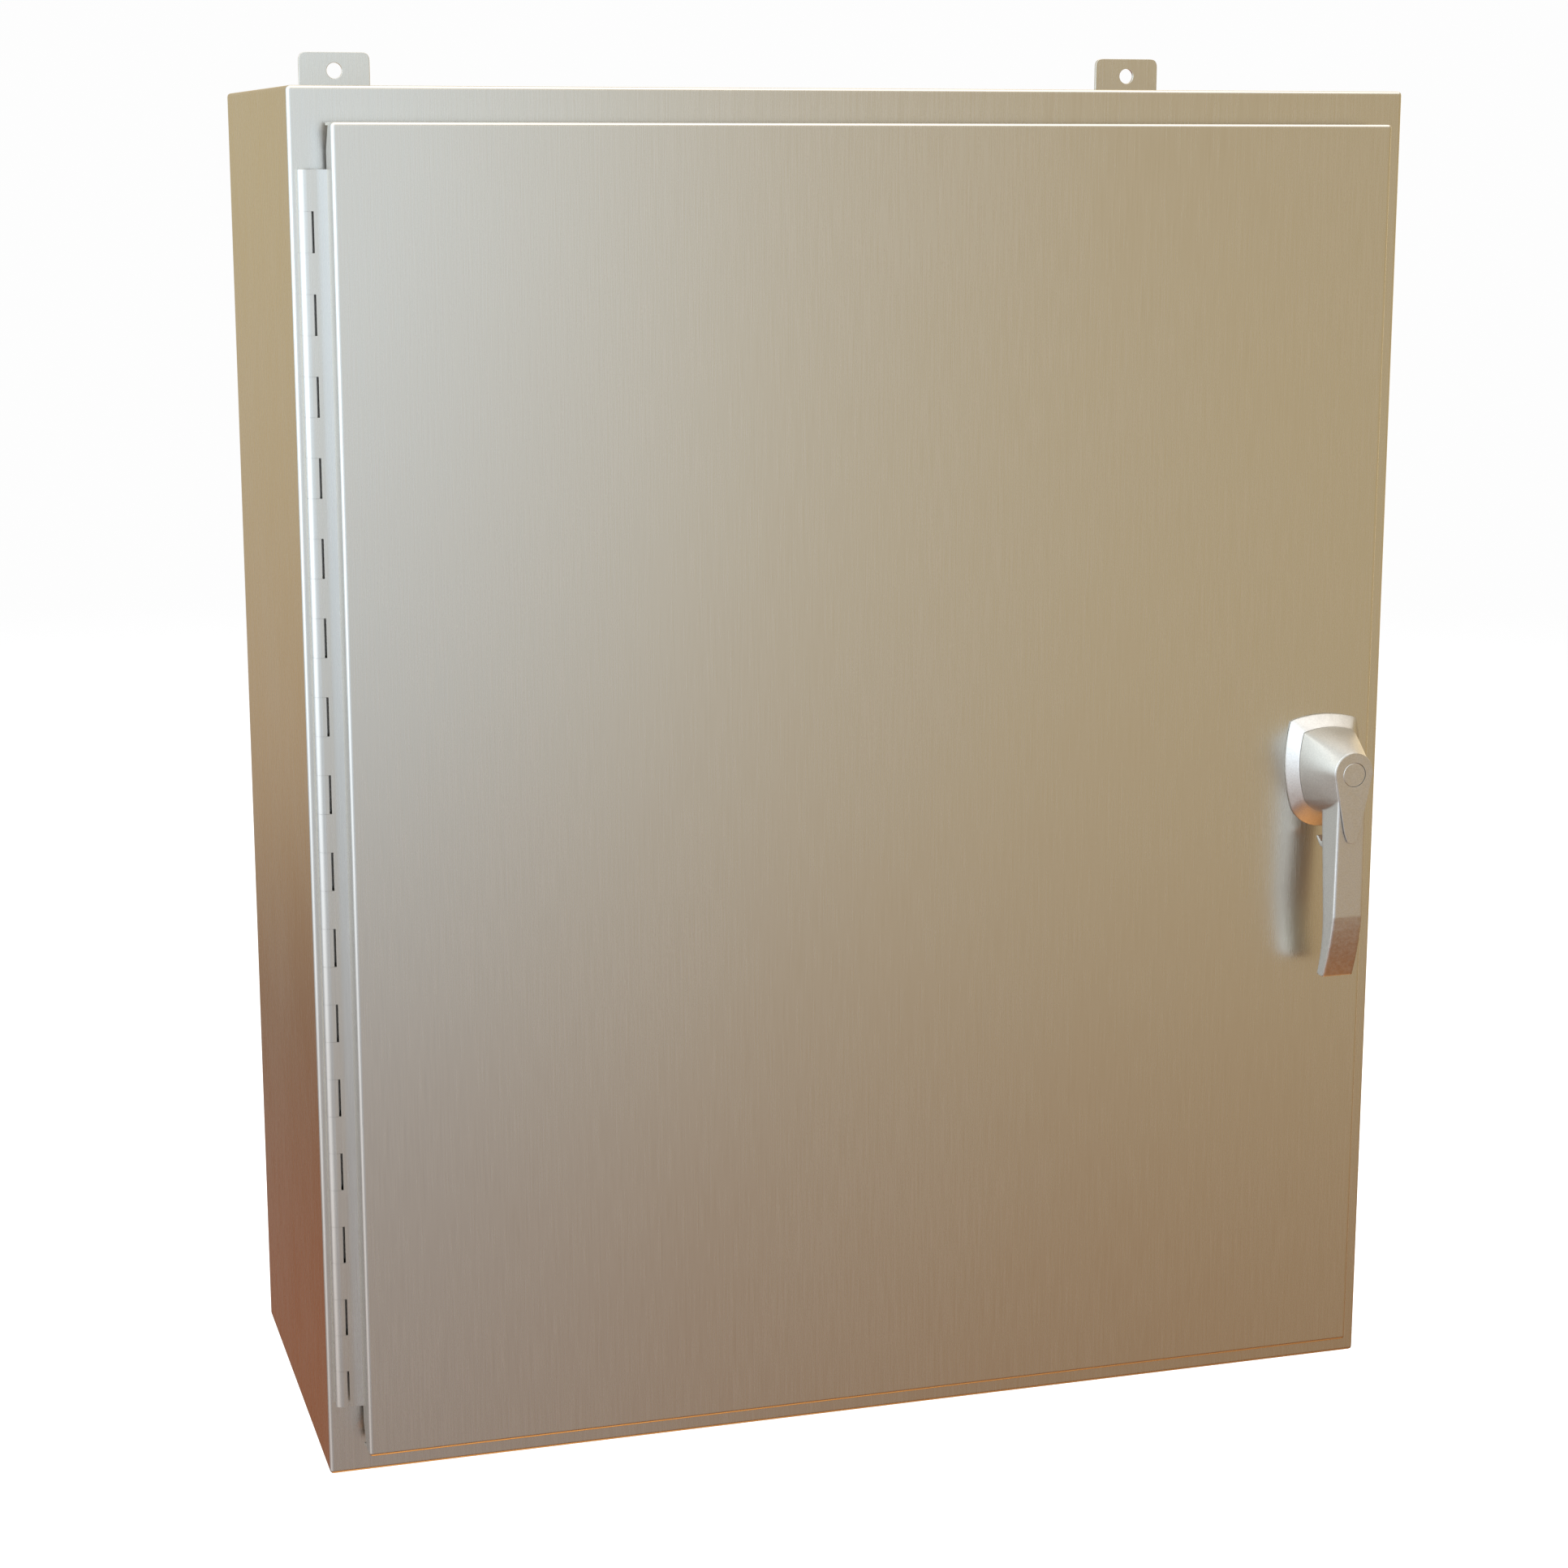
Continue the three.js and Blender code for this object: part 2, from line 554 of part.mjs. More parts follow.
function blade(name) {
  const half = 12;
  const shape = new THREE.Shape();
  shape.moveTo(PIVOT_Y - half, 180);
  shape.lineTo(PIVOT_Y - half, PIVOT_Z);
  shape.absarc(PIVOT_Y, PIVOT_Z, half, Math.PI, 2 * Math.PI);
  shape.lineTo(PIVOT_Y + half, 174);
  shape.lineTo(PIVOT_Y + half - 6, 180);
  const plate = slabYZ(shape, -BLADE_T / 2, BLADE_T / 2, 8);
  return mesh(name, cut(plate, turned("x", 3.4, -5, 5, [PIVOT_Y, PIVOT_Z], 12)), "copper");
}

const BAR = { y0: PIVOT_Y - 30.3, y1: PIVOT_Y - 12.3, z0: PIVOT_Z + 23, z1: PIVOT_Z + 41 };
const CROSS_ARM_X = 282;

function crossbar() {
  return mesh("crossbar", box(78, CROSS_ARM_X - GAP, BAR.y0, BAR.y1, BAR.z0, BAR.z1), "black");
}

function crossbarArm() {
  const lean = Math.PI / 6;
  const pin = [PIVOT_Y + ARM_CRANK_R * Math.cos(lean), PIVOT_Z - ARM_CRANK_R * Math.sin(lean)];
  const shape = outline([
    [BAR.y0 - 1.5, BAR.z1 + 2], [BAR.y0 - 1.5, BAR.z0 - 6], [PIVOT_Y - 4, PIVOT_Z - 11], [pin[0] - 3, pin[1] - 8],
    [pin[0] + 7, pin[1] - 7], [pin[0] + 8, pin[1] + 6], [PIVOT_Y + 11, PIVOT_Z + 5], [BAR.y1 + 1.5, BAR.z1 + 2],
  ]);
  const plate = slabYZ(shape, CROSS_ARM_X, CROSS_ARM_X + 4);
  const crankPin = turned("x", CRANK_PIN_R, CROSS_ARM_X + 3, CROSS_ARM_X + 16, pin, 10);
  return mesh("crossbar_arm", join(plate, crankPin), "zinc");
}

// ---- Operating mechanism ----
const FRAME = { x0: 272, x1: 340.5, y0: -165, z0: -40, z1: 150, sheet: 2.5, legTop: 55 };
const GUIDE_X = 302.5;
const GUIDE_Z = [45, 95];
const SLIDE_TRAVEL = 30;

function mechanismFrame() {
  const f = FRAME;
  const back = PANEL_FRONT - GAP;
  const outer = box(f.x0, f.x1, f.y0, back, f.z0, f.z1);
  const inner = box(f.x0 + f.sheet, f.x1 - f.sheet, f.y0 + f.sheet, back + 1, f.z0 - 1, f.z1 + 1);
  const window = box(f.x0 - 1, f.x0 + f.sheet + 1, f.y0 + f.sheet, back + 1, f.legTop, f.z1 + 1);
  const hole = turned("y", SPINDLE_R + 2 * GAP, f.y0 - 1, f.y0 + f.sheet + 1, [HANDLE_X, 0], 12);
  const pins = GUIDE_Z.map((z) => turned("y", CRANK_PIN_R, f.y0 + 1, SLIDE_BACK + 4, [GUIDE_X, z], 10));
  return mesh("mechanism_frame", join(cut(outer, inner, window, hole), ...pins), "zinc");
}

function operatingSlide() {
  const [y0, y1] = [SLIDE_BACK - SLIDE_SHEET, SLIDE_BACK];
  const plate = box(291, 314, y0, y1, -28, 106);
  const flange = box(291, 294, y0, PIVOT_Y + 39, 68, 92);
  const pinReach = CRANK_PIN_R + GAP;
  const guideSlots = GUIDE_Z.map((z) =>
    box(GUIDE_X - pinReach, GUIDE_X + pinReach, y0 - 1, y1 + 1, z - SLIDE_TRAVEL - pinReach, z + pinReach));
  const shaftSlot = box(
    HANDLE_X - SHAFT_CRANK_R - pinReach, HANDLE_X - SHAFT_CRANK_R * HALF + pinReach, y0 - 1, y1 + 1,
    -SHAFT_CRANK_R * HALF - 4, -SHAFT_CRANK_R * HALF + 4,
  );
  const lean = Math.PI / 6;
  const armSlot = box(
    290, 295, PIVOT_Y + ARM_CRANK_R * Math.cos(lean) - pinReach, PIVOT_Y + ARM_CRANK_R + pinReach,
    PIVOT_Z - ARM_CRANK_R / 2 - 3.8, PIVOT_Z - ARM_CRANK_R / 2 + 3.8,
  );
  return mesh("operating_slide", cut(join(plate, flange), ...guideSlots, shaftSlot, armSlot), "zinc");
}

const COUPLING = { y0: -287, y1: -264, slotBack: -279, boreFront: -276.3, r: 14 };

function driveShaft() {
  return mesh("drive_shaft", turned("y", SPINDLE_R, COUPLING.boreFront + GAP, -44, [0, 0], 12), "zinc");
}

function shaftCoupling() {
  const c = COUPLING;
  const disc = turned("y", c.r, c.y0, c.y1, [0, 0], 20);
  const slot = box(-2.5, 2.5, c.y0 - 1, c.slotBack, -c.r - 1, c.r + 1);
  const bore = turned("y", SPINDLE_R + GAP, c.boreFront, c.y1 + 1, [0, 0], 12);
  return mesh("shaft_coupling", cut(disc, slot, bore), "black");
}

function shaftCrank() {
  const [y0, y1] = [-151, -147];
  const a = -SHAFT_CRANK_R * HALF;
  const [e, ear] = [6 * HALF, 6];
  const arm = outline([[e, -e], [-e, e], [a - e, a + e], [a + e, a - e]]);
  const plate = join(
    slabXZ(arm, y0, y1), turned("y", 10.5, y0, y1, [0, 0], 16), turned("y", ear, y0, y1, [a, a], 12),
    turned("y", CRANK_PIN_R, y0 + 1, SLIDE_BACK + 4, [a, a], 10),
  );
  const bore = turned("y", SPINDLE_R + GAP, y0 - 1, y1 + 1, [0, 0], 12);
  return mesh("shaft_crank", cut(plate, bore), "zinc");
}

function rearBearing() {
  const block = box(-14, 14, -56, PANEL_FRONT - GAP, -14, 14);
  return mesh("rear_bearing", cut(block, turned("y", SPINDLE_R + GAP, -57, -43, [0, 0], 12)), "nylon");
}

// ---- Assembly ----
function switchPoles() {
  return POLE_X.map((x, i) => group(
    x, 0, 0, lineTerminal(`line_terminal_${i + 1}`), fuseTerminal(`fuse_terminal_${i + 1}`),
    loadTerminal(`load_terminal_${i + 1}`), fuse(`fuse_${i + 1}`), blade(`blade_${i + 1}`),
  ));
}

function handleGroup() {
  return group(
    HANDLE_X, 0, 0, handleSeal(), handleEscutcheon(), spindleBush(), handleLever(), handleCap(), lockPlug(),
    spindle(), latchCam(), camNut(), latchSide("upper", 1), latchSide("lower", -1),
  );
}

const model = new THREE.Group();
model.name = "fused_disconnect_switch";
model.add(
  cabinetShell(),
  ...mountingFeet(),
  group(HINGE_X, HINGE_Y, 0, hingeBodyLeaf(), hingeDoorLeaf(), hingePin()),
  group(0, 0, 0, doorPan(), doorGasket(), doorStiffener(), documentPocket()),
  handleGroup(),
  mountingPanel(),
  ...panelStuds(),
  groundBar(),
  group(0, 0, 0, switchBase(), lineShield(), crossbar(), crossbarArm(), ...switchPoles()),
  group(0, 0, 0, mechanismFrame(), operatingSlide()),
  group(HANDLE_X, 0, 0, driveShaft(), shaftCoupling(), shaftCrank(), rearBearing()),
);

export default model;
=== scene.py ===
"""Looks of the fused disconnect switch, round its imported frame. Millimetres here, metres in Blender."""
import json
import math

import bmesh
import bpy
from mathutils import Matrix, Vector


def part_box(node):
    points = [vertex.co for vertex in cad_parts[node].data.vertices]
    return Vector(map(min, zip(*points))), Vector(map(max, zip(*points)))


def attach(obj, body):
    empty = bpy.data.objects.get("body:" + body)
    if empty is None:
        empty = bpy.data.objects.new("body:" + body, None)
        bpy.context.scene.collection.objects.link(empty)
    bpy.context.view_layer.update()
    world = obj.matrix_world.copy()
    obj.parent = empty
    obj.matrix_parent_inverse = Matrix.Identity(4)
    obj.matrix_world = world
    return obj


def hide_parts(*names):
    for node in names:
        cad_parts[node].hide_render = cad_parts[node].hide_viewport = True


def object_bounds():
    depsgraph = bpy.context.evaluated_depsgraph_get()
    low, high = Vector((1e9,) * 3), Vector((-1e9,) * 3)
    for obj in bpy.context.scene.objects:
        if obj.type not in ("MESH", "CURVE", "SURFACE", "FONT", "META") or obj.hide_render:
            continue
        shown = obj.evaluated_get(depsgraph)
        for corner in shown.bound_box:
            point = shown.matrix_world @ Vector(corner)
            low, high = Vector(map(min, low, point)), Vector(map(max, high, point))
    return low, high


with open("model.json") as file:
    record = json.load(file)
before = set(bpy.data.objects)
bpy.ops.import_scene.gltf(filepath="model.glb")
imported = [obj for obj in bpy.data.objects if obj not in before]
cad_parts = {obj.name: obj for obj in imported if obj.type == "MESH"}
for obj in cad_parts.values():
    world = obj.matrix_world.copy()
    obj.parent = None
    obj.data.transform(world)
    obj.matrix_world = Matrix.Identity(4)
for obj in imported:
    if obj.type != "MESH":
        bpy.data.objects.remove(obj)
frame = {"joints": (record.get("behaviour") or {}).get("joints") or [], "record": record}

MM = 0.001
CAD_BOX = [list(corner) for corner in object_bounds()]
TURN = 2 * math.pi


# ---- Places, read from the frame, in millimetres ----
def span(node):
    """A CAD node's lowest and highest corner."""
    low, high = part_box(node)
    return [c / MM for c in low], [c / MM for c in high]


def joint(name):
    return next(j for j in frame["joints"] if j["name"] == name)


BODY_OF = {node: body for body, nodes in frame["record"]["behaviour"]["bodies"].items() for node in nodes}
SLOT_OF = {part["node"]: part["material_slot"] for part in frame["record"]["subparts"]}
HINGE_X, HINGE_Y = (c / MM for c in joint("door_swing")["pos_m"][:2])
HANDLE_X = joint("handle_turn")["pos_m"][0] / MM
DOOR_LOW, DOOR_HIGH = span("door_pan")
SHELL_LOW, SHELL_HIGH = span("cabinet_shell")
DOOR_FACE = DOOR_LOW[1]
FLANGE = -304.8                 # front flange of the cabinet
LIP = 31.75                     # from the cabinet's sides to the lip round its mouth
GAP = 0.3                       # air between neighbouring parts of the handle and its spindle
HANDLE_AXIS = (HANDLE_X, 0)
BUSH_HOLE = 8.6                 # radius of a hole for the handle's bush
SHAFT_HOLE = 6.3                # radius of a hole for the 12 mm shaft
FOOT_HOLE = 5.55                # radius of a 7/16 in bolt hole
PLUG_DROP = -1.2                # the lock plug's height against the handle's axis
POLES = (95, 163, 231)          # X of the three poles
BARRIERS = (129, 197)           # X of the barriers between them
PIVOT = (-105, 95)              # Y and Z of the pin that the blades turn on
STEEL = 2.0                     # enclosure sheet
DOOR_SHEET = 1.9
SHARP = math.radians(35)        # an edge that turns by less is shaded smooth
BEND = 2.6                      # outside radius of a folded corner


# ---- Materials ----
def add_node(tree, kind, inputs=None, **settings):
    """A node with its settings. An input is a plain value or another node's output."""
    made = tree.nodes.new(kind)
    for key, value in settings.items():
        setattr(made, key, value)
    for key, value in (inputs or {}).items():
        if isinstance(value, bpy.types.NodeSocket):
            tree.links.new(value, made.inputs[key])
        else:
            made.inputs[key].default_value = value
    return made


class Finish:
    """A Principled material under construction, with short calls for the nodes it needs."""

    def __init__(self, name, colour, roughness, metallic=0.0):
        self.material = bpy.data.materials.new(name)
        self.material.use_nodes = True
        self.tree = self.material.node_tree
        self.shader = self.tree.nodes["Principled BSDF"]
        self.set("Base Color", (*colour, 1))
        self.set("Roughness", roughness)
        self.set("Metallic", metallic)
        self.place = self.node("ShaderNodeTexCoord").outputs["Object"]

    def set(self, socket, value):
        """A uniform value, or a node's output, on the shader."""
        if isinstance(value, bpy.types.NodeSocket):
            self.tree.links.new(value, self.shader.inputs[socket])
        else:
            self.shader.inputs[socket].default_value = value

    def done(self, colour, roughness, normal):
        """The material, with the three sockets that nearly every finish varies."""
        self.set("Base Color", colour)
        self.set("Roughness", roughness)
        self.set("Normal", normal)
        return self.material

    def node(self, kind, inputs=None, **settings):
        return add_node(self.tree, kind, inputs, **settings)

    def scaled_place(self, stretch):
        """The place on the object with stretch cells to the metre along X, Y and Z, or along all three."""
        if not isinstance(stretch, tuple):
            stretch = (stretch,) * 3
        values = {"Vector": self.place, "Scale": stretch}
        return self.node("ShaderNodeMapping", values).outputs["Vector"]

    def noise(self, stretch, detail=3.0):
        values = {"Vector": self.scaled_place(stretch), "Scale": 1.0, "Detail": detail, "Roughness": 0.55}
        return self.node("ShaderNodeTexNoise", values).outputs["Fac"]

    def cells(self, density):
        values = {"Vector": self.scaled_place(density), "Scale": 1.0}
        return self.node("ShaderNodeTexVoronoi", values).outputs["Distance"]

    def span(self, value, low, high, to_low, to_high):
        ends = {"Value": value, "From Min": low, "From Max": high, "To Min": to_low, "To Max": to_high}
        return self.node("ShaderNodeMapRange", ends).outputs["Result"]

    def maths(self, operation, a, b):
        return self.node("ShaderNodeMath", {0: a, 1: b}, operation=operation).outputs["Value"]

    def shades(self, value, dark, light, low=0.35, high=0.65):
        """A colour between dark and light by value."""
        ramp = self.node("ShaderNodeValToRGB", {"Fac": value})
        for stop, position, colour in zip(ramp.color_ramp.elements, (low, high), (dark, light)):
            stop.position = position
            stop.color = (*colour, 1)
        return ramp.outputs["Color"]

    def around(self, colour, value, dark, light, low=0.35, high=0.65):
        """The colour between two of its own shades by value."""
        return self.shades(value, dimmer(colour, dark), dimmer(colour, light), low, high)

    def blend(self, share, a, b):
        sides = {key: side if isinstance(side, bpy.types.NodeSocket) else (*side, 1)
                 for key, side in ((6, a), (7, b))}
        return self.node("ShaderNodeMix", {0: share, **sides}, data_type="RGBA").outputs[2]

    def worn(self, radius, sharpest=0.12):
        """From 0 on a flat face to 1 along a sharp edge."""
        soft = self.node("ShaderNodeBevel", {"Radius": radius * MM}, samples=4).outputs["Normal"]
        hard = self.node("ShaderNodeNewGeometry").outputs["Normal"]
        dot = self.node("ShaderNodeVectorMath", {0: soft, 1: hard}, operation="DOT_PRODUCT").outputs["Value"]
        return self.span(dot, 1.0, 1.0 - sharpest, 0.0, 1.0)

    def relief(self, height, depth, under=None):
        """A bump depth millimetres high, laid over another one if there is one under it."""
        values = {"Height": height, "Distance": depth * MM, "Strength": 1.0}
        if under is not None:
            values["Normal"] = under
        return self.node("ShaderNodeBump", values).outputs["Normal"]


def dimmer(colour, share):
    return tuple(c * share for c in colour)


def brushed(name, colour, roughness, grain_depth):
    """Metal sheet brushed up and down: fine grain, a few longer scratches and faint cloudy handling marks."""
    made = Finish(name, colour, roughness, metallic=1.0)
    fine = made.noise((1150, 1150, 30), detail=4)
    scratches = made.noise((660, 660, 15))
    clouds = made.noise((5, 5, 4))
    streaks = made.maths("ADD", made.maths("MULTIPLY", fine, 0.6), made.maths("MULTIPLY", scratches, 0.4))
    shade = made.around(colour, streaks, 0.975, 1.02, 0.37, 0.63)
    shade = made.blend(made.span(clouds, 0.45, 0.75, 0.0, 0.03), shade, dimmer(colour, 0.9))
    cloudy = made.span(clouds, 0.3, 0.7, roughness - 0.012, roughness + 0.012)
    streaky = made.span(streaks, 0.35, 0.65, -0.02, 0.02)
    return made.done(shade, made.maths("ADD", cloudy, streaky), made.relief(streaks, grain_depth))


def cast_metal():
    """Bead-blasted casting: fine sparkle, rubbed brighter along its edges."""
    colour = (0.64, 0.61, 0.56)
    made = Finish("satin_casting", colour, 0.4, metallic=1.0)
    speck = made.noise(1000, detail=2)
    pits = made.noise(420)
    clouds = made.noise(30, detail=2)
    shade = made.around(colour, speck, 0.92, 1.05)
    shade = made.blend(made.span(clouds, 0.4, 0.7, 0.0, 0.15), shade, dimmer(colour, 0.92))
    shade = made.blend(made.worn(0.7, 0.2), shade, (0.74, 0.72, 0.68))
    relief = made.relief(speck, 0.045, made.relief(pits, 0.03))
    return made.done(shade, made.span(pits, 0.3, 0.7, 0.36, 0.46), relief)


def zinc_plate():
    """Bright zinc with faint yellow and blue passivation and dull handling marks."""
    made = Finish("zinc_plate", (0.62, 0.64, 0.66), 0.32, metallic=1.0)
    tint = made.noise(16)
    fine = made.noise(700)
    shade = made.shades(tint, (0.66, 0.63, 0.54), (0.58, 0.63, 0.70), 0.4, 0.6)
    shade = made.blend(made.span(fine, 0.4, 0.65, 0.0, 0.25), shade, (0.5, 0.51, 0.52))
    shade = made.blend(made.worn(0.5, 0.2), shade, (0.75, 0.76, 0.77))
    return made.done(shade, made.span(fine, 0.3, 0.7, 0.24, 0.42), made.relief(fine, 0.012))


def panel_paint():
    """Satin white powder coat with its orange peel, and grey where edges are rubbed."""
    colour = (0.80, 0.80, 0.77)
    made = Finish("panel_paint", colour, 0.42)
    peel = made.noise(330, detail=2)
    dust = made.noise(9, detail=4)
    shade = made.blend(made.worn(0.8), made.around(colour, dust, 0.93, 1.0), (0.5, 0.5, 0.49))
    return made.done(shade, made.span(dust, 0.3, 0.7, 0.36, 0.5), made.relief(peel, 0.06))


def rubber():
    """Closed-cell sponge with a fine open skin."""
    made = Finish("sponge_rubber", (0.02, 0.02, 0.021), 0.85)
    cells = made.cells(900)
    shade = made.shades(cells, (0.012, 0.012, 0.013), (0.035, 0.035, 0.036), 0.2, 0.7)
    return made.done(shade, made.span(cells, 0.1, 0.7, 0.95, 0.75), made.relief(cells, 0.12))


def moulded(name, colour, roughness, rubbed):
    """Moulded plastic: a spark-eroded grain, slight flow shading and paler edges."""
    made = Finish(name, colour, roughness)
    grain = made.noise(500, detail=2)
    flow = made.noise((14, 14, 6))
    shade = made.blend(made.worn(0.5, 0.2), made.around(colour, flow, 0.88, 1.08), dimmer(colour, rubbed))
    rough = made.span(grain, 0.3, 0.7, roughness - 0.06, roughness + 0.08)
    return made.done(shade, rough, made.relief(grain, 0.03))


def glass_polyester():
    """Red moulding compound with chopped glass fibre just under the skin."""
    colour = (0.30, 0.045, 0.028)
    made = Finish("glass_polyester", colour, 0.42)
    fibres = made.noise((1100, 260, 90))
    flow = made.noise((12, 12, 7), detail=4)
    shade = made.around(colour, flow, 0.8, 1.12)
    shade = made.blend(made.span(fibres, 0.58, 0.72, 0.0, 0.35), shade, (0.42, 0.13, 0.09))
    shade = made.blend(made.worn(0.6, 0.2), shade, (0.45, 0.12, 0.08))
    return made.done(shade, made.span(fibres, 0.3, 0.7, 0.36, 0.52), made.relief(fibres, 0.02))


def bare_copper():
    colour = (0.74, 0.40, 0.25)
    made = Finish("bare_copper", colour, 0.28, metallic=1.0)
    grain = made.noise((900, 900, 22))
    tarnish = made.noise(32, detail=4)
    shade = made.around(colour, grain, 0.9, 1.06)
    shade = made.blend(made.span(tarnish, 0.45, 0.75, 0.0, 0.6), shade, (0.42, 0.22, 0.15))
    return made.done(shade, made.span(tarnish, 0.3, 0.75, 0.2, 0.42), made.relief(grain, 0.012))


def tinned_copper():
    colour = (0.66, 0.65, 0.61)
    made = Finish("tinned_copper", colour, 0.34, metallic=1.0)
    grain = made.noise((600, 600, 40))
    bloom = made.noise(55)
    shade = made.blend(made.worn(0.5, 0.2), made.around(colour, bloom, 0.86, 1.05), (0.76, 0.66, 0.55))
    return made.done(shade, made.span(grain, 0.3, 0.7, 0.28, 0.44), made.relief(grain, 0.012))


def fibre_tube():
    """Wound glass and melamine tube: the winding shows as fine rings under a thin resin skin."""
    colour = (0.66, 0.58, 0.42)
    made = Finish("fibre_tube", colour, 0.5)
    wind = made.noise((60, 60, 1500), detail=2)
    mottle = made.noise((120, 120, 60))
    shade = made.around(colour, wind, 0.84, 1.08)
    shade = made.blend(made.span(mottle, 0.45, 0.7, 0.0, 0.3), shade, (0.5, 0.4, 0.26))
    return made.done(shade, made.span(mottle, 0.3, 0.7, 0.4, 0.6), made.relief(wind, 0.02))


def polycarbonate():
    """Clear sheet with a faint smear on it."""
    made = Finish("clear_polycarbonate", (0.93, 0.96, 0.97), 0.06)
    made.set("Transmission Weight", 1.0)
    made.set("IOR", 1.58)
    smear = made.noise((40, 40, 12), detail=4)
    made.set("Roughness", made.span(smear, 0.45, 0.75, 0.03, 0.16))
    return made.material


def floor_paint():
    """Pale floor that fades out to clear towards its rim."""
    made = Finish("studio_floor", (0.93, 0.93, 0.93), 0.75)
    made.set("Base Color", made.shades(made.noise(3), (0.92, 0.92, 0.92), (0.94, 0.94, 0.94)))
    made.set("Emission Color", (1, 1, 1, 1))
    made.set("Emission Strength", 0.11)
    far = made.node("ShaderNodeTexGradient", {"Vector": made.place}, gradient_type="SPHERICAL").outputs["Fac"]
    clear = made.node("ShaderNodeBsdfTransparent").outputs["BSDF"]
    fade = made.node("ShaderNodeMapRange", {"Value": far, "From Min": 0.1, "From Max": 0.9},
                     interpolation_type="SMOOTHSTEP").outputs["Result"]
    mixed = made.node("ShaderNodeMixShader", {0: fade, 1: clear, 2: made.shader.outputs["BSDF"]})
    made.tree.links.new(mixed.outputs["Shader"], made.tree.nodes["Material Output"].inputs["Surface"])
    return made.material


STAINLESS = (0.64, 0.605, 0.54)
FINISHES = {
    "stainless": brushed("brushed_stainless", STAINLESS, 0.268, 0.022),
    "cast_handle": cast_metal(),
    "zinc_plate": zinc_plate(),
    "panel_paint": panel_paint(),
    "seal_rubber": rubber(),
    "nylon": moulded("natural_nylon", (0.62, 0.58, 0.46), 0.45, rubbed=1.1),
    "pocket_grey": moulded("pocket_grey", (0.30, 0.32, 0.34), 0.5, rubbed=1.3),
    "black_plastic": moulded("black_thermoset", (0.022, 0.022, 0.025), 0.4, rubbed=2.2),
    "base_red": glass_polyester(),
    "copper": bare_copper(),
    "tinned_copper": tinned_copper(),
    "fuse_body": fibre_tube(),
    "clear_shield": polycarbonate(),
}


# ---- Solids. Each is a bmesh in millimetres. ----
def turn_to(axis):
    """Takes (a, b, c), with c along the axis, to X, Y and Z."""
    return {
        "x": lambda a, b, c: (c, a, b),
        "y": lambda a, b, c: (a, c, b),
        "z": lambda a, b, c: (a, b, c),
    }[axis]


def arc(centre, radius, start, end, steps):
    """Points round a centre, angles in degrees."""
    angles = [math.radians(start + (end - start) * i / steps) for i in range(steps + 1)]
    return [(centre[0] + radius * math.cos(a), centre[1] + radius * math.sin(a)) for a in angles]


def circle(centre, radius, sides=40):
    return arc(centre, radius, 0, 360, sides)[:-1]


def rounded(points, radius, steps=5):
    """A closed outline with each corner rounded off, as far as its sides allow."""
    made = []
    for i, corner in enumerate(points):
        here = Vector(corner)
        to_before, to_after = Vector(points[i - 1]) - here, Vector(points[(i + 1) % len(points)]) - here
        half = to_before.angle(to_after) / 2
        setback = min(radius / math.tan(half), to_before.length * 0.48, to_after.length * 0.48)
        a, b = here + to_before.normalized() * setback, here + to_after.normalized() * setback
        for k in range(steps + 1):
            t = k / steps
            made.append(tuple(a * (1 - t) ** 2 + here * (2 * t * (1 - t)) + b * t ** 2))
    return made


def rectangle(a0, a1, b0, b1, radius=0.0, steps=5):
    corners = [(a0, b0), (a1, b0), (a1, b1), (a0, b1)]
    return rounded(corners, radius, steps) if radius else corners


def slot_outline(a0, a1, b0, b1):
    """A rectangle whose short ends are half round."""
    if a1 - a0 > b1 - b0:
        r = (b1 - b0) / 2
        return arc((a1 - r, b0 + r), r, -90, 90, 8) + arc((a0 + r, b0 + r), r, 90, 270, 8)
    r = (a1 - a0) / 2
    return arc((a0 + r, b1 - r), r, 0, 180, 8) + arc((a0 + r, b0 + r), r, 180, 360, 8)


def wall(bm, low, high):
    """Faces between two closed rows of vertices."""
    for i in range(len(low)):
        k = (i + 1) % len(low)
        bm.faces.new((low[i], low[k], high[k], high[i]))


def loft(rings, closed=False):
    """Joins rings of equal length and caps the ends, unless the last ring joins the first."""
    bm = bmesh.new()
    rows = [[bm.verts.new(p) for p in ring] for ring in rings]
    for low, high in zip(rows, rows[1:] + rows[:1] if closed else rows[1:]):
        wall(bm, low, high)
    if not closed:
        bm.faces.new(rows[0])
        bm.faces.new(rows[-1])
    bmesh.ops.recalc_face_normals(bm, faces=bm.faces)
    return bm


def prism(points, start, end, axis="y"):
    to = turn_to(axis)
    return loft([[to(a, b, c) for a, b in points] for c in (start, end)])


def block(low, high, radius=0.0):
    """A box, its four edges along Y rounded if there is a radius."""
    outline = rectangle(low[0], high[0], low[2], high[2], radius)
    return prism(outline, low[1], high[1], "y")


def turned(profile, centre, axis="y", sides=48):
    """Turns (radius, along) points round an axis through centre. The profile closes on itself, or starts and
    ends on the axis with a flat end face."""
    to = turn_to(axis)
    open_ends = profile[0][0] == 0 and profile[-1][0] == 0
    rings = []
    for radius, along in profile[1:-1] if open_ends else profile:
        rings.append([to(centre[0] + a, centre[1] + b, along) for a, b in circle((0, 0), radius, sides)])
    return loft(rings, closed=not open_ends)


def rod(radius, start, end, centre, axis="y", chamfer=0.4, sides=40):
    """A plain shaft with chamfered ends."""
    c, neck = chamfer, radius - chamfer
    profile = [(0, start), (neck, start), (radius, start + c), (radius, end - c), (neck, end), (0, end)]
    return turned(profile, centre, axis, sides)


def drill(radius, start, end, centre, axis="y"):
    """What a round hole takes away."""
    return rod(radius, start, end, centre, axis, 0.01)


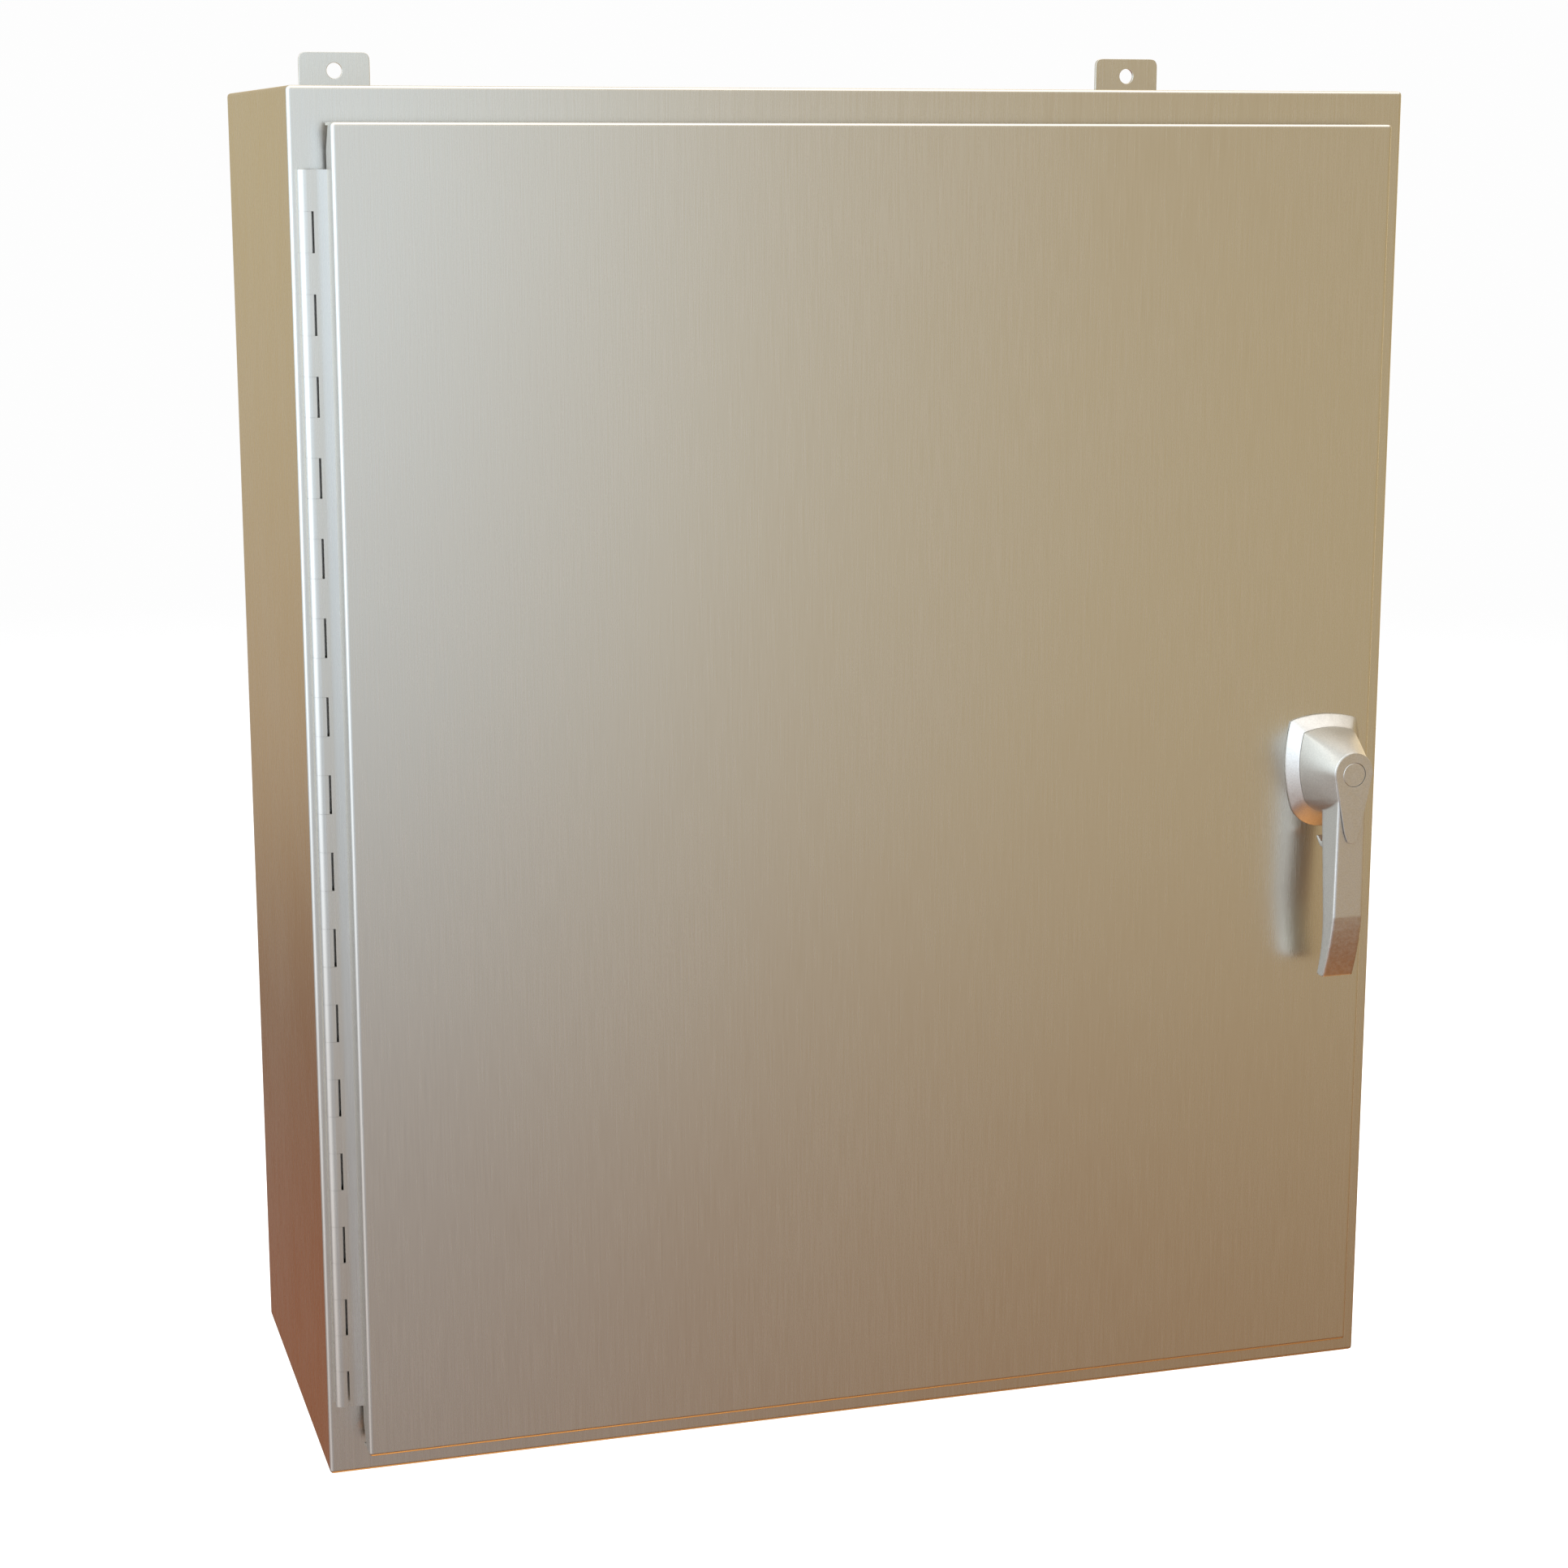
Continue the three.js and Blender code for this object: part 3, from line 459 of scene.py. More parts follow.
def ring(inner, outer, start, end, centre, axis="y", chamfer=0.4, sides=48):
    c = chamfer
    profile = [
        (inner + c, start), (outer - c, start), (outer, start + c), (outer, end - c), (outer - c, end),
        (inner + c, end), (inner, end - c), (inner, start + c),
    ]
    return turned(profile, centre, axis, sides)


def made_object(bm, name="scratch"):
    mesh = bpy.data.meshes.new(name)
    bm.to_mesh(mesh)
    bm.free()
    made = bpy.data.objects.new(name, mesh)
    bpy.context.scene.collection.objects.link(made)
    return made


def settled(scratch):
    """The mesh of an object with its modifiers applied, as a bmesh. The object is removed."""
    shown = scratch.evaluated_get(bpy.context.evaluated_depsgraph_get())
    bm = bmesh.new()
    bm.from_mesh(shown.to_mesh())
    shown.to_mesh_clear()
    bpy.data.objects.remove(scratch)
    return bm


def combined(base, tool, operation):
    a, b = made_object(base), made_object(tool)
    modifier = a.modifiers.new("join", "BOOLEAN")
    modifier.operation = operation
    modifier.solver = "MANIFOLD"
    modifier.object = b
    bm = settled(a)
    bpy.data.objects.remove(b)
    return bm


def join(base, *others):
    for other in others:
        base = combined(base, other, "UNION")
    return base


def cut(base, *tools):
    for tool in tools:
        base = combined(base, tool, "DIFFERENCE")
    return base


def beside(*parts):
    """Puts closed parts that only touch into one mesh."""
    bm = bmesh.new()
    for part in parts:
        mesh = bpy.data.meshes.new("scratch")
        part.to_mesh(mesh)
        part.free()
        bm.from_mesh(mesh)
        bpy.data.meshes.remove(mesh)
    return bm


def moved(bm, x=0.0, y=0.0, z=0.0):
    bmesh.ops.translate(bm, verts=bm.verts, vec=(x, y, z))
    return bm


def flipped(bm):
    """Half a turn about the handle's axis."""
    to_axis = Matrix.Translation((-HANDLE_X, 0, 0))
    half_turn = to_axis.inverted() @ Matrix.Rotation(math.pi, 4, "Y") @ to_axis
    bmesh.ops.transform(bm, matrix=half_turn, verts=bm.verts)
    return bm


def hexagon(across, start, end, centre, axis="y"):
    """A hexagon bar with both ends chamfered by a turned cone."""
    r = across / math.sqrt(3)
    c = (r - across / 2) * 0.9
    outer, inner = r + 0.01, r - 1.6 * c
    cone = [(0, start), (inner, start), (outer, start + c), (outer, end - c), (inner, end), (0, end)]
    bar = prism(circle(centre, r, 6), start, end, axis)
    return combined(bar, turned(cone, centre, axis, 36), "INTERSECT")


def folded(path, thickness, radius, start, end, axis):
    """Sheet folded along an open path of its middle line, then drawn out. radius is the inside of a bend."""
    middle = radius + thickness / 2
    line = [Vector(path[0])]
    for before, here, after in zip(path, path[1:], path[2:]):
        here, back, on = Vector(here), Vector(before) - Vector(here), Vector(after) - Vector(here)
        half = back.angle(on) / 2
        back, on = back.normalized(), on.normalized()
        setback = middle / math.tan(half)
        centre = here + (back + on).normalized() * (middle / math.sin(half))
        a, b = here + back * setback - centre, here + on * setback - centre
        sweep = a.angle_signed(b)
        for k in range(7):
            line.append(centre + Matrix.Rotation(-sweep * k / 6, 2) @ a)
    line.append(Vector(path[-1]))
    left, right = [], []
    for i, point in enumerate(line):
        along = (line[min(i + 1, len(line) - 1)] - line[max(i - 1, 0)]).normalized()
        side = Vector((-along.y, along.x)) * thickness / 2
        left.append(tuple(point + side))
        right.append(tuple(point - side))
    return prism(left + right[::-1], start, end, axis)


def cap_screw(radius, start, end, centre, axis="y", drive="slot"):
    """A round screw head whose top is at start, with a slot or a hexagon socket."""
    step = 1 if end > start else -1
    h = abs(end - start)
    profile = [(0, start), (radius * 0.55, start), (radius * 0.85, start + step * h * 0.15),
               (radius, start + step * h * 0.5), (radius, end), (0, end)]
    a, b = centre
    if drive == "slot":
        outline = rectangle(a - radius * 2, a + radius * 2, b - 0.6, b + 0.6)
    else:
        outline = circle(centre, radius * 0.55, 6)
    tool = prism(outline, *sorted((start - step, start + step * h * 0.45)), axis)
    return cut(turned(profile, centre, axis, 36), tool)


# ---- Pieces ----
def piece(name, bm, *nodes, body=None, slot=None, edge=0.0):
    """Turns a bmesh into a named piece that stands for the CAD nodes it is given, with their body and finish.
    Its edges are eased by a bevel, or else kept sharp where they turn by more than a bend's facets do."""
    slot = slot or SLOT_OF[nodes[0]]
    bmesh.ops.scale(bm, vec=(MM, MM, MM), verts=bm.verts)
    bmesh.ops.recalc_face_normals(bm, faces=bm.faces)
    for face in bm.faces:
        face.smooth = True
    for side in bm.edges:
        side.smooth = bool(edge) or side.calc_face_angle(0) < SHARP
    made = made_object(bm, name)
    if edge:
        bevel = made.modifiers.new("edges", "BEVEL")
        bevel.width = edge * MM
        bevel.segments = 2
        bevel.limit_method = "ANGLE"
        bevel.angle_limit = SHARP
    weighted = made.modifiers.new("shading", "WEIGHTED_NORMAL")
    weighted.keep_sharp = True
    made.data.materials.append(FINISHES[slot])
    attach(made, body or BODY_OF[nodes[0]])
    if nodes:
        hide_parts(*nodes)


def fasteners(name, body, *heads):
    """Plated screws or nuts that stand for no CAD node."""
    piece(name, beside(*heads), body=body, slot="zinc_plate")


def folds(edge):
    """Whether two faces of a sheet's skin meet at this edge at an angle."""
    return len(edge.link_faces) == 2 and edge.calc_face_angle(0) > SHARP


def sheet_skin(name, bm, node, sheet, radius, holes=()):
    """A folded sheet from its outer skin: the folds are rounded and the sheet is grown inwards."""
    weight = bm.edges.layers.float.get("bevel_weight_edge") or bm.edges.layers.float.new("bevel_weight_edge")
    for edge in bm.edges:
        edge[weight] = 1.0 if folds(edge) else 0.0
    scratch = made_object(bm)
    rounding = scratch.modifiers.new("bends", "BEVEL")
    rounding.width, rounding.segments, rounding.limit_method = radius, 4, "WEIGHT"
    rounding.use_clamp_overlap = False
    growth = scratch.modifiers.new("sheet", "SOLIDIFY")
    growth.thickness, growth.offset, growth.use_even_offset = sheet, -1, True
    piece(name, cut(settled(scratch), *holes), node)


def face_to(bm, way):
    """Turns every face so that the first one looks towards the front (way -1) or the back (way 1)."""
    bmesh.ops.recalc_face_normals(bm, faces=bm.faces)
    bm.faces.ensure_lookup_table()
    if bm.faces[0].normal.y * way < 0:
        bmesh.ops.reverse_faces(bm, faces=bm.faces)


# ---- Enclosure ----
CORNERS = ((-1, -1), (1, -1), (1, 1), (-1, 1))


def cabinet_shell():
    x, z, mouth = SHELL_HIGH[0], SHELL_HIGH[2], SHELL_LOW[1]
    bm = bmesh.new()
    rows = []
    for inset, y in ((0, 0.0), (0, FLANGE), (LIP, FLANGE), (LIP, mouth)):
        rows.append([bm.verts.new((sx * (x - inset), y, sz * (z - inset))) for sx, sz in CORNERS])
    bm.faces.new(rows[0])
    for low, high in zip(rows, rows[1:]):
        wall(bm, low, high)
    face_to(bm, 1)
    sheet_skin("enclosure_body", bm, "cabinet_shell", STEEL, BEND)


def door_pan():
    """The door is folded from one sheet. Its side flanges are cut back at a slant next to each corner."""
    x, z, rear = DOOR_HIGH[0], DOOR_HIGH[2], DOOR_HIGH[1]
    slant, cut_back = 17.0, 11.0
    f, m, r = DOOR_FACE, rear - cut_back, rear
    signs = (-1, 1)
    bm = bmesh.new()
    corner = {(sx, sz, y): bm.verts.new((sx * x, y, sz * z))
              for sx in signs for sz in signs for y in (f, m, r)}
    side = {(sx, sz): bm.verts.new((sx * x, r, sz * (z - slant))) for sx in signs for sz in signs}
    bm.faces.new([corner[sx, sz, f] for sx, sz in CORNERS])
    for s in signs:
        bm.faces.new((corner[s, -1, f], corner[s, 1, f], corner[s, 1, m],
                      side[s, 1], side[s, -1], corner[s, -1, m]))
        bm.faces.new([corner[sx, s, y] for sx, y in ((-1, f), (1, f), (1, m), (1, r), (-1, r), (-1, m))])
    face_to(bm, -1)
    hole = rod(BUSH_HOLE, DOOR_FACE - 5, DOOR_FACE + 8, HANDLE_AXIS)
    sheet_skin("door_panel", bm, "door_pan", DOOR_SHEET, BEND, [hole])


def door_gasket():
    low, high = span("door_gasket")
    thick = high[1] - low[1]
    rings = []
    for inward, depth in ((0, 0.6), (0.6, 0), (6.9, 0), (7.5, 0.6), (7.5, 3.4), (6.0, thick), (1.5, thick),
                          (0, 3.4)):
        y = high[1] - depth
        a, b = high[0] - inward, high[2] - inward
        rings.append([(px, y, pz) for px, pz in rectangle(-a, a, -b, b, 9 - inward, 8)])
    piece("door_seal", loft(rings, closed=True), "door_gasket")


def mounting_foot(end, side):
    node = f"mounting_foot_{end}_{side}"
    low, high = span(node)
    x0, x1, up = low[0], high[0], 1 if end == "top" else -1
    sole, tip = (low[2], high[2]) if up > 0 else (high[2], low[2])
    t, inside = 2.7, 1.6
    path = [(low[1], sole + up * t / 2), (-t / 2, sole + up * t / 2), (-t / 2, tip)]
    angle = folded(path, t, inside, x0, x1, "x")
    corners = [(x0, sole - up), (x1, sole - up), (x1, tip), (x0, tip)]
    silhouette = corners[:2] + rounded(corners, 6.0, 6)[14:]
    keep = prism(silhouette, low[1] - 1, 1)
    hole = rod(FOOT_HOLE, -9, 1, ((x0 + x1) / 2, sole + up * 15.9))
    foot = cut(combined(angle, keep, "INTERSECT"), hole)
    piece(f"foot_{end}_{side}", foot, node, edge=0.35)


# ---- Continuous hinge ----
KNUCKLE, BARREL, LEAF, NOTCH = 25.4, 4.1, 1.4, 4.9
CURL_X, CURL_REACH = 1.2, 5.3       # centre of the curl's half ellipse, and how far left it reaches
TAIL_X = 3.4                        # end of a body knuckle's flat front
JOINT = 0.1                         # air between two knuckles
WELD = 28.0                         # radius of the shallow hollow where the door leaf meets the door's side
WELD_TURN = 13                      # degrees that the hollow turns through


def curl(side, tail):
    """Section of a knuckle about the hinge axis. It leaves its leaf at the notch line on one side, runs flat
    to the curl, goes round the pin and ends in a flat tail on the other side."""
    def skin(depth):
        angles = [math.radians(a) for a in range(90, 271, 9)]
        wide, high = CURL_REACH - depth, side * (BARREL - depth)
        bend = [(CURL_X + wide * math.cos(a), high * math.sin(a)) for a in angles]
        return [(NOTCH, high), *bend, (tail, -high)]

    return skin(0) + skin(LEAF)[::-1]


def hinge_leaf(node, side, tail, first):
    """A leaf's strip in one run, with a curled knuckle on every second inch. side is 1 for the back leaf."""
    low, high = span(node)
    far = (high[0] if side > 0 else DOOR_LOW[0]) - HINGE_X
    near_y, far_y = side * (BARREL - LEAF), side * BARREL

    def drawn_out(points, start, end):
        return prism([(HINGE_X + x, HINGE_Y + y) for x, y in points], start, end, "z")

    parts = [drawn_out([(NOTCH, near_y), (NOTCH, far_y), (far, far_y), (far, near_y)], low[2], high[2])]
    if side < 0:
        corner = (far - WELD * math.sin(math.radians(WELD_TURN)), far_y - WELD)
        parts.append(drawn_out(arc(corner, WELD, 90 - WELD_TURN, 90, 8) + [(far, far_y)], low[2], high[2]))
    for i in range(first, round((high[2] - low[2]) / KNUCKLE), 2):
        start = high[2] - i * KNUCKLE
        parts.append(drawn_out(curl(side, tail), start - KNUCKLE + JOINT / 2, start - JOINT / 2))
    piece(node.replace("_leaf", "_strip"), beside(*parts), node)


def hinge():
    hinge_leaf("hinge_body_leaf", 1, TAIL_X, first=1)
    hinge_leaf("hinge_door_leaf", -1, CURL_X, first=0)
    low, high = span("hinge_pin")
    pin = rod(2.2, low[2], high[2], (HINGE_X, HINGE_Y), "z", chamfer=0.8, sides=24)
    piece("hinge_rod", pin, "hinge_pin")


# ---- Handle ----
HUB_BACK = DOOR_FACE - 9.6
HUB_FRONT = DOOR_FACE - 48.2
CREASE = -102.0
SHOULDER = 0.765                    # the skirt's flat front as a share of its outline


def reach(way, centre, radius):
    """How far a ray from the origin runs until it leaves a circle that holds the origin, or None."""
    along = way[0] * centre[0] + way[1] * centre[1]
    gap = along ** 2 - centre[0] ** 2 - centre[1] ** 2 + radius ** 2
    return along + math.sqrt(gap) if gap > 0 else None


def shield(angle, soft):
    """Radius of the skirt's outline: arched top, bowed sides, round bottom, corners eased by soft."""
    way = (math.cos(angle), math.sin(angle))
    top = reach(way, (0, -47.1), 80.1)
    flank = min(reach(way, (-80.5, 2), 108.9), reach(way, (80.5, 2), 108.9))
    if way[1] < -0.77:
        flank = min(flank, reach(way, (0, -21.6), 25.4))
    return -soft * math.log(math.exp(-top / soft) + math.exp(-flank / soft)) + soft * 0.1


def drop(angle, big, small, below):
    """Radius of a drop: a big circle round the axis run into a small one below it."""
    way = (math.cos(angle), math.sin(angle))
    found = [reach(way, (0, -below * t / 40), big + (small - big) * t / 40) for t in range(41)]
    return max(f for f in found if f)


def section(radius_at, y):
    """A ring round the handle's axis from its radius at each angle."""
    angles = [TURN * i / 96 for i in range(96)]
    return [(HANDLE_X + radius_at(a) * math.cos(a), y, radius_at(a) * math.sin(a)) for a in angles]


def shield_plate(share, back, front):
    """A thin plate of the skirt's outline, smaller by share."""
    return loft([section(lambda a: shield(a, 0.8) * share, y) for y in (back, front)])


def handle_seal():
    low, high = span("handle_seal")
    hole = rod(BUSH_HOLE, low[1] - 4, high[1] + 4, HANDLE_AXIS)
    piece("handle_gasket", cut(shield_plate(0.9, high[1], low[1]), hole), "handle_seal", edge=0.2)


def handle_skirt():
    """The skirt comes down close to the door all round, over the seal in its back."""
    back, front = DOOR_FACE - 0.15, HUB_BACK + 0.1
    shares = [(back, 0.985), (back - 0.25, 0.997), (back - 0.8, 1.0), (back - 1.9, 0.985)]
    shares += [(front + 0.9, SHOULDER + 0.035), (front + 0.35, SHOULDER + 0.00875), (front, SHOULDER)]
    rings = [section(lambda a, share=share: shield(a, 0.4) * share, y) for y, share in shares]
    bore = rod(BUSH_HOLE, front - 4, back + 4, HANDLE_AXIS)
    recess = shield_plate(0.92, back + 1, span("handle_seal")[0][1] - 0.2)
    piece("handle_skirt", cut(loft(rings), bore, recess), "handle_escutcheon")


def hub():
    """From the skirt's outline to a short drop, straight along the ridges and a little full between them."""
    def ring_at(t):
        full = 1 + 0.035 * math.sin(math.pi * t)

        def radius(angle):
            root = SHOULDER * shield(angle, 0.5 + 2.3 * t)
            return ((1 - t) * root + t * drop(angle, 13.6, 10.6, 17)) * full

        return section(radius, HUB_BACK + (HUB_FRONT - HUB_BACK) * t)

    return loft([ring_at(i / 18) for i in range(19)])


def arm():
    """The lever: flat front, a crease, a tail bent towards the door, and a bowed back."""
    rings = []
    top, tip = -4.0, -147.0
    for z in (top, -16, -28, -40, -52, -64, -76, -88, CREASE + 0.4, CREASE - 0.4,
              -107, -112, -117, -122, -127, -132, -136, -140, -143.5, tip):
        fall = max(0.0, CREASE - z) / (CREASE - tip)
        front = HUB_FRONT + 5.5 * fall + 6.5 * fall * fall
        t = (top - z) / (top - tip)
        depth = 33.5 - 19.0 * t + 3.0 * t * t
        back = max(front + 15.0, HUB_FRONT + depth + 9.5 * fall * fall)
        half = (20.8 + 2.2 * t) / 2
        small, big = 1.3, 8
        outline = arc((small - half, front + small), small, 180, 270, 4)
        outline += arc((half - small, front + small), small, 270, 360, 4)
        outline += arc((half - big, back - big), big, 0, 90, 10)
        outline += arc((big - half, back - big), big, 90, 180, 10)
        rings.append([(HANDLE_X + px, py, z) for px, py in outline])
    return loft(rings)


def hook():
    y = HUB_FRONT + 25
    line = [(y - 4, -57), (y + 2, -56.5), (y + 8, -51), (y + 7, -49.5), (y + 1.5, -53), (y - 4, -52)]
    return prism(rounded(line, 1.2, 3), HANDLE_X - 9.8, HANDLE_X - 4.8, "x")


def handle_lever():
    """Hub, arm and hook are one casting: joined, then remeshed finely to ease its inside corners."""
    casting = join(hub(), arm(), hook())
    scratch = made_object(cut(casting, rod(SHAFT_HOLE, HUB_BACK - 25, HUB_BACK + 4, HANDLE_AXIS)))
    skin = scratch.modifiers.new("skin", "REMESH")
    skin.mode, skin.voxel_size, skin.use_smooth_shade = "VOXEL", 0.62, True
    ease = scratch.modifiers.new("ease", "SMOOTH")
    ease.factor, ease.iterations = 0.5, 2
    piece("lever_casting", settled(scratch), "handle_lever")


def handle_cap():
    """The teardrop face stands over a narrow groove, with the lock's plug let into it."""
    back, front = HUB_FRONT - GAP, HUB_FRONT - GAP - 1.5
    steps = [(back + 0.25, 1.3), (back - 0.45, 1.3), (back - 0.5, 0), (front + 0.35, 0), (front + 0.1, 0.1),
             (front, 0.35)]
    rings = [section(lambda a, d=d: drop(a, 14.0 - d, 5.2 - d, 44.4), y) for y, d in steps]
    centre = (HANDLE_X, PLUG_DROP)
    piece("hub_face", cut(loft(rings), rod(8.56, front - 4, back + 4, centre)), "handle_cap")
    profile = [(0, front + 0.12), (7.9, front + 0.12), (8.4, front + 0.5), (8.4, back), (0, back)]
    piece("plug_face", turned(profile, centre), "lock_plug")


# ---- Small parts that several pieces share ----
def threaded(radius, start, end, centre, pitch):
    """A shaft along Y with a helical thread that runs out at both ends."""
    sides = 28
    steps = round(abs(end - start) / pitch * 6)
    rings = []
    for j in range(steps + 1):
        along = start + (end - start) * j / steps
        runout = max(0.0, 1 - min(abs(along - start), abs(end - along)) / pitch)
        points = []
        for i in range(sides):
            turn = (along / pitch + i / sides) % 1
            r = radius - pitch * 0.55 * max(abs(2 * turn - 1), runout)
            a = TURN * i / sides
            points.append((centre[0] + r * math.cos(a), along, centre[1] + r * math.sin(a)))
        rings.append(points)
    return loft(rings)


def nut(across, hole, start, end, centre):
    return cut(hexagon(across, start, end, centre), drill(hole, start - 1, end + 1, centre))


def plate(points, hole, start, end, centre, axis="y"):
    """A flat plate of any outline with a round hole."""
    return cut(prism(points, start, end, axis), drill(hole, start - 1, end + 1, centre, axis))


def hull(*circles):
    """The outline of a band drawn tight round circles, each (centre, radius)."""
    points = [Vector(p) for centre, radius in circles for p in circle(centre, radius, 48)]
    points.sort(key=lambda p: (p.x, p.y))

    def half(ordered):
        kept = []
        for p in ordered:
            while len(kept) > 1 and (kept[-1] - kept[-2]).cross(p - kept[-2]) <= 1e-9:
                kept.pop()
            kept.append(p)
        return kept[:-1]

    return [tuple(p) for p in half(points) + half(points[::-1])]


# ---- Inside of the door ----
def door_stiffener():
    """Hat section with rolled bends, spot-welded to the door through both lips."""
    (x0, y0, z0), (x1, y1, z1) = span("door_stiffener")
    t, lip = DOOR_SHEET, 14.0
    near, far = y0 + t / 2, y1 - t / 2
    path = [(x0, near), (x0 + lip + t / 2, near), (x0 + lip + t / 2, far),
            (x1 - lip - t / 2, far), (x1 - lip - t / 2, near), (x1, near)]
    top, bottom = y0 + t + 1, y0 + t - 0.35
    dimple = [(0, top), (3.1, top), (2.4, bottom), (0, bottom)]
    welds = []
    for x in (x0 + lip / 2 - 0.5, x1 - lip / 2 + 0.5):
        for i in range(14):
            z = z0 + 25 + i * (z1 - z0 - 50) / 13
            welds.append(turned(dimple, (x, z), sides=20))
    piece("door_stiffener_hat", cut(folded(path, t, 1.6, z0, z1, "z"), beside(*welds)), "door_stiffener")


def document_pocket():
    low, high = span("document_pocket")
    sheet, dip = 2.5, 45.0          # its thickness, and the radius of the scoop in it
    middle = (low[0] + high[0]) / 2
    hollow = block([c + sheet for c in low], [high[0] - sheet, high[1] - sheet, high[2] + 5], 3)
    scoop = rod(dip, low[1] + 2 * sheet, high[1] + 3, (middle, high[2]), sides=72)
    tray = cut(block(low, high, 5), hollow, scoop)
    ribs = []
    for x in (middle + dx for dx in (-70, -35, 0, 35, 70)):
        ribs.append(block((x - 1.5, high[1] - 1, low[2] + 14), (x + 1.5, high[1] + 0.9, high[2] - 62), 1.4))
    piece("document_tray", join(tray, beside(*ribs)), "document_pocket", edge=0.6)


def spindle_parts():
    low, high = span("spindle_bush")
    face = DOOR_FACE + DOOR_SHEET + GAP
    sleeve = rod(8.0, low[1], face + 4.5, HANDLE_AXIS)
    sleeve = join(threaded(8.2, face + 4, high[1], HANDLE_AXIS, 1.5), sleeve)
    washer = ring(8.0, 12.9, face, face + 1.4, HANDLE_AXIS)
    bush = join(sleeve, washer, hexagon(22.5, face + 1.3, face + 7.7, HANDLE_AXIS))
    piece("bush_and_nut", cut(bush, rod(6.5, low[1] - 1, high[1] + 1, HANDLE_AXIS)), "spindle_bush")
    low, high = span("spindle")
    shoulder = span("latch_cam")[1][1] - 3 - GAP
    shank = rod(6, low[1], shoulder, HANDLE_AXIS)
    stem = threaded(4.5, shoulder - 1, high[1] - 7.4, HANDLE_AXIS, 1.0)
    dog = moved(block((-2, high[1] - 8.4, -9), (2, high[1], 9), 0.8), HANDLE_X)
    piece("handle_spindle", join(shank, stem, dog), "spindle")
    low, high = span("cam_nut")
    piece("cam_lock_nut", nut(13.8, 4.8, low[1], high[1], HANDLE_AXIS), "cam_nut")


def latch_cam():
    low, high = span("latch_cam")
    back, front = high[1], high[1] - 3
    a = (high[0] - low[0]) / 2 - 5.5
    ends = [(HANDLE_X + side * a, side * a) for side in (1, -1)]
    arms = plate(hull((ends[0], 5.5), (HANDLE_AXIS, 8), (ends[1], 5.5)), 4.8, front, back, HANDLE_AXIS)
    boss = ring(4.8, 10, front, back, HANDLE_AXIS)
    pins = [rod(2.5, low[1], front + 1, end, sides=28) for end in ends]
    heads = [ring(2.6, 3.6, low[1] + 0.1, low[1] + 1.0, end, chamfer=0.2, sides=28) for end in ends]
    piece("latch_cam_plate", join(arms, boss, *pins, *heads), "latch_cam")


def latch_side(end, place):
    """Rod, roller and guide as drawn above the handle. place leaves each there or turns it half round."""
    x, front, back = HANDLE_X + 14.5, -301.8, -298.8
    roller, top = (-296.5, 433.0), 424.0
    slot_x, slot_z = (HANDLE_X + 9.22, HANDLE_X + 19.8), (12.02 - 3.35, 12.02 + 3.35)
    yoke = block((slot_x[0] - 2.6, front, slot_z[0] - 3.5), (slot_x[1] + 2.5, back, slot_z[1] + 3.5), 3)
    bar = block((x - 4.5, front, slot_z[1] + 2), (x + 4.5, back, top), 1)
    flat = cut(join(yoke, bar), prism(slot_outline(*slot_x, *slot_z), front - 1, back + 1))
    cheek = rectangle(front, roller[0] + 4, roller[1] - 15, roller[1] + 4, 2.5)
    cheeks = [prism(cheek, x + side * 4.8 - 0.9, x + side * 4.8 + 0.9, "x") for side in (-1, 1)]
    axle = rod(2, x - 5.7, x + 5.7, roller, "x", sides=24)
    rivets = [rod(3, *sorted((x + side * 5.6, x + side * 6.5)), roller, "x", 0.35, 24) for side in (-1, 1)]
    piece(f"{end}_rod_bar", place(join(flat, *cheeks, axle, *rivets)), f"{end}_latch_rod")

    rim = [(2.3, 3.5), (3.3, 3.5), (3.6, 2.9), (4.9, 2.9), (5.2, 3.5), (5.6, 3.5), (6.0, 3.1)]
    tyre = [(r, x + side) for r, side in rim] + [(r, x - side) for r, side in rim[::-1]]
    piece(f"{end}_roller_tyre", place(turned(tyre, roller, "x")), f"{end}_roller")

    low, high = (x - 14, -332.6, 372), (x + 7.3, -294.8, 388)
    body = block(low, high, 1.5)
    way = block((x - 5, front - 0.4, low[2] - 1), (x + 5, back + 0.4, high[2] + 1), 0.8)
    relief = block((low[0] + 5, low[1] + 5.7, low[2] - 1), (high[0] - 5, front - 5, high[2] + 1), 3)
    piece(f"{end}_guide_block", place(cut(body, way, relief)), f"{end}_rod_guide", edge=0.5)
    middle = ((low[0] + high[0]) / 2, (low[2] + high[2]) / 2)
    stud = threaded(2.4, low[1] + 5.5, low[1] + 13, middle, 0.8)
    fasteners(f"{end}_guide_nut", "door", place(join(stud, hexagon(7.6, low[1] + 5.8, low[1] + 9.6, middle))))


# ---- Back panel and what is bolted to it ----
def mounting_panel():
    low, high = span("mounting_panel")
    studs = [span(f"panel_stud_{i}") for i in range(1, 5)]
    centres = [((a[0] + b[0]) / 2, (a[2] + b[2]) / 2) for a, b in studs]
    holes = [drill(5.6, low[1] - 1, high[1] + 1, c) for c in centres]
    piece("back_panel", cut(block(low, high, 4), beside(*holes)), "mounting_panel", edge=0.5)
    for i, (centre, (a, b)) in enumerate(zip(centres, studs), start=1):
        foot, front = b[1], b[1] - 34.7
        profile = [(0, front), (7.6, front), (8, front + 0.4), (8, foot - 1.6), (7.2, foot), (0, foot)]
        bolt = threaded(4.7, a[1], foot - 30, centre, 1.5)
        washer = ring(4.4, 9.6, low[1] - 2.0, low[1] - 0.3, centre)
        head = hexagon(15.6, low[1] - 9.4, low[1] - 1.9, centre)
        piece(f"stud_{i}", join(turned(profile, centre), bolt, washer, head), f"panel_stud_{i}")


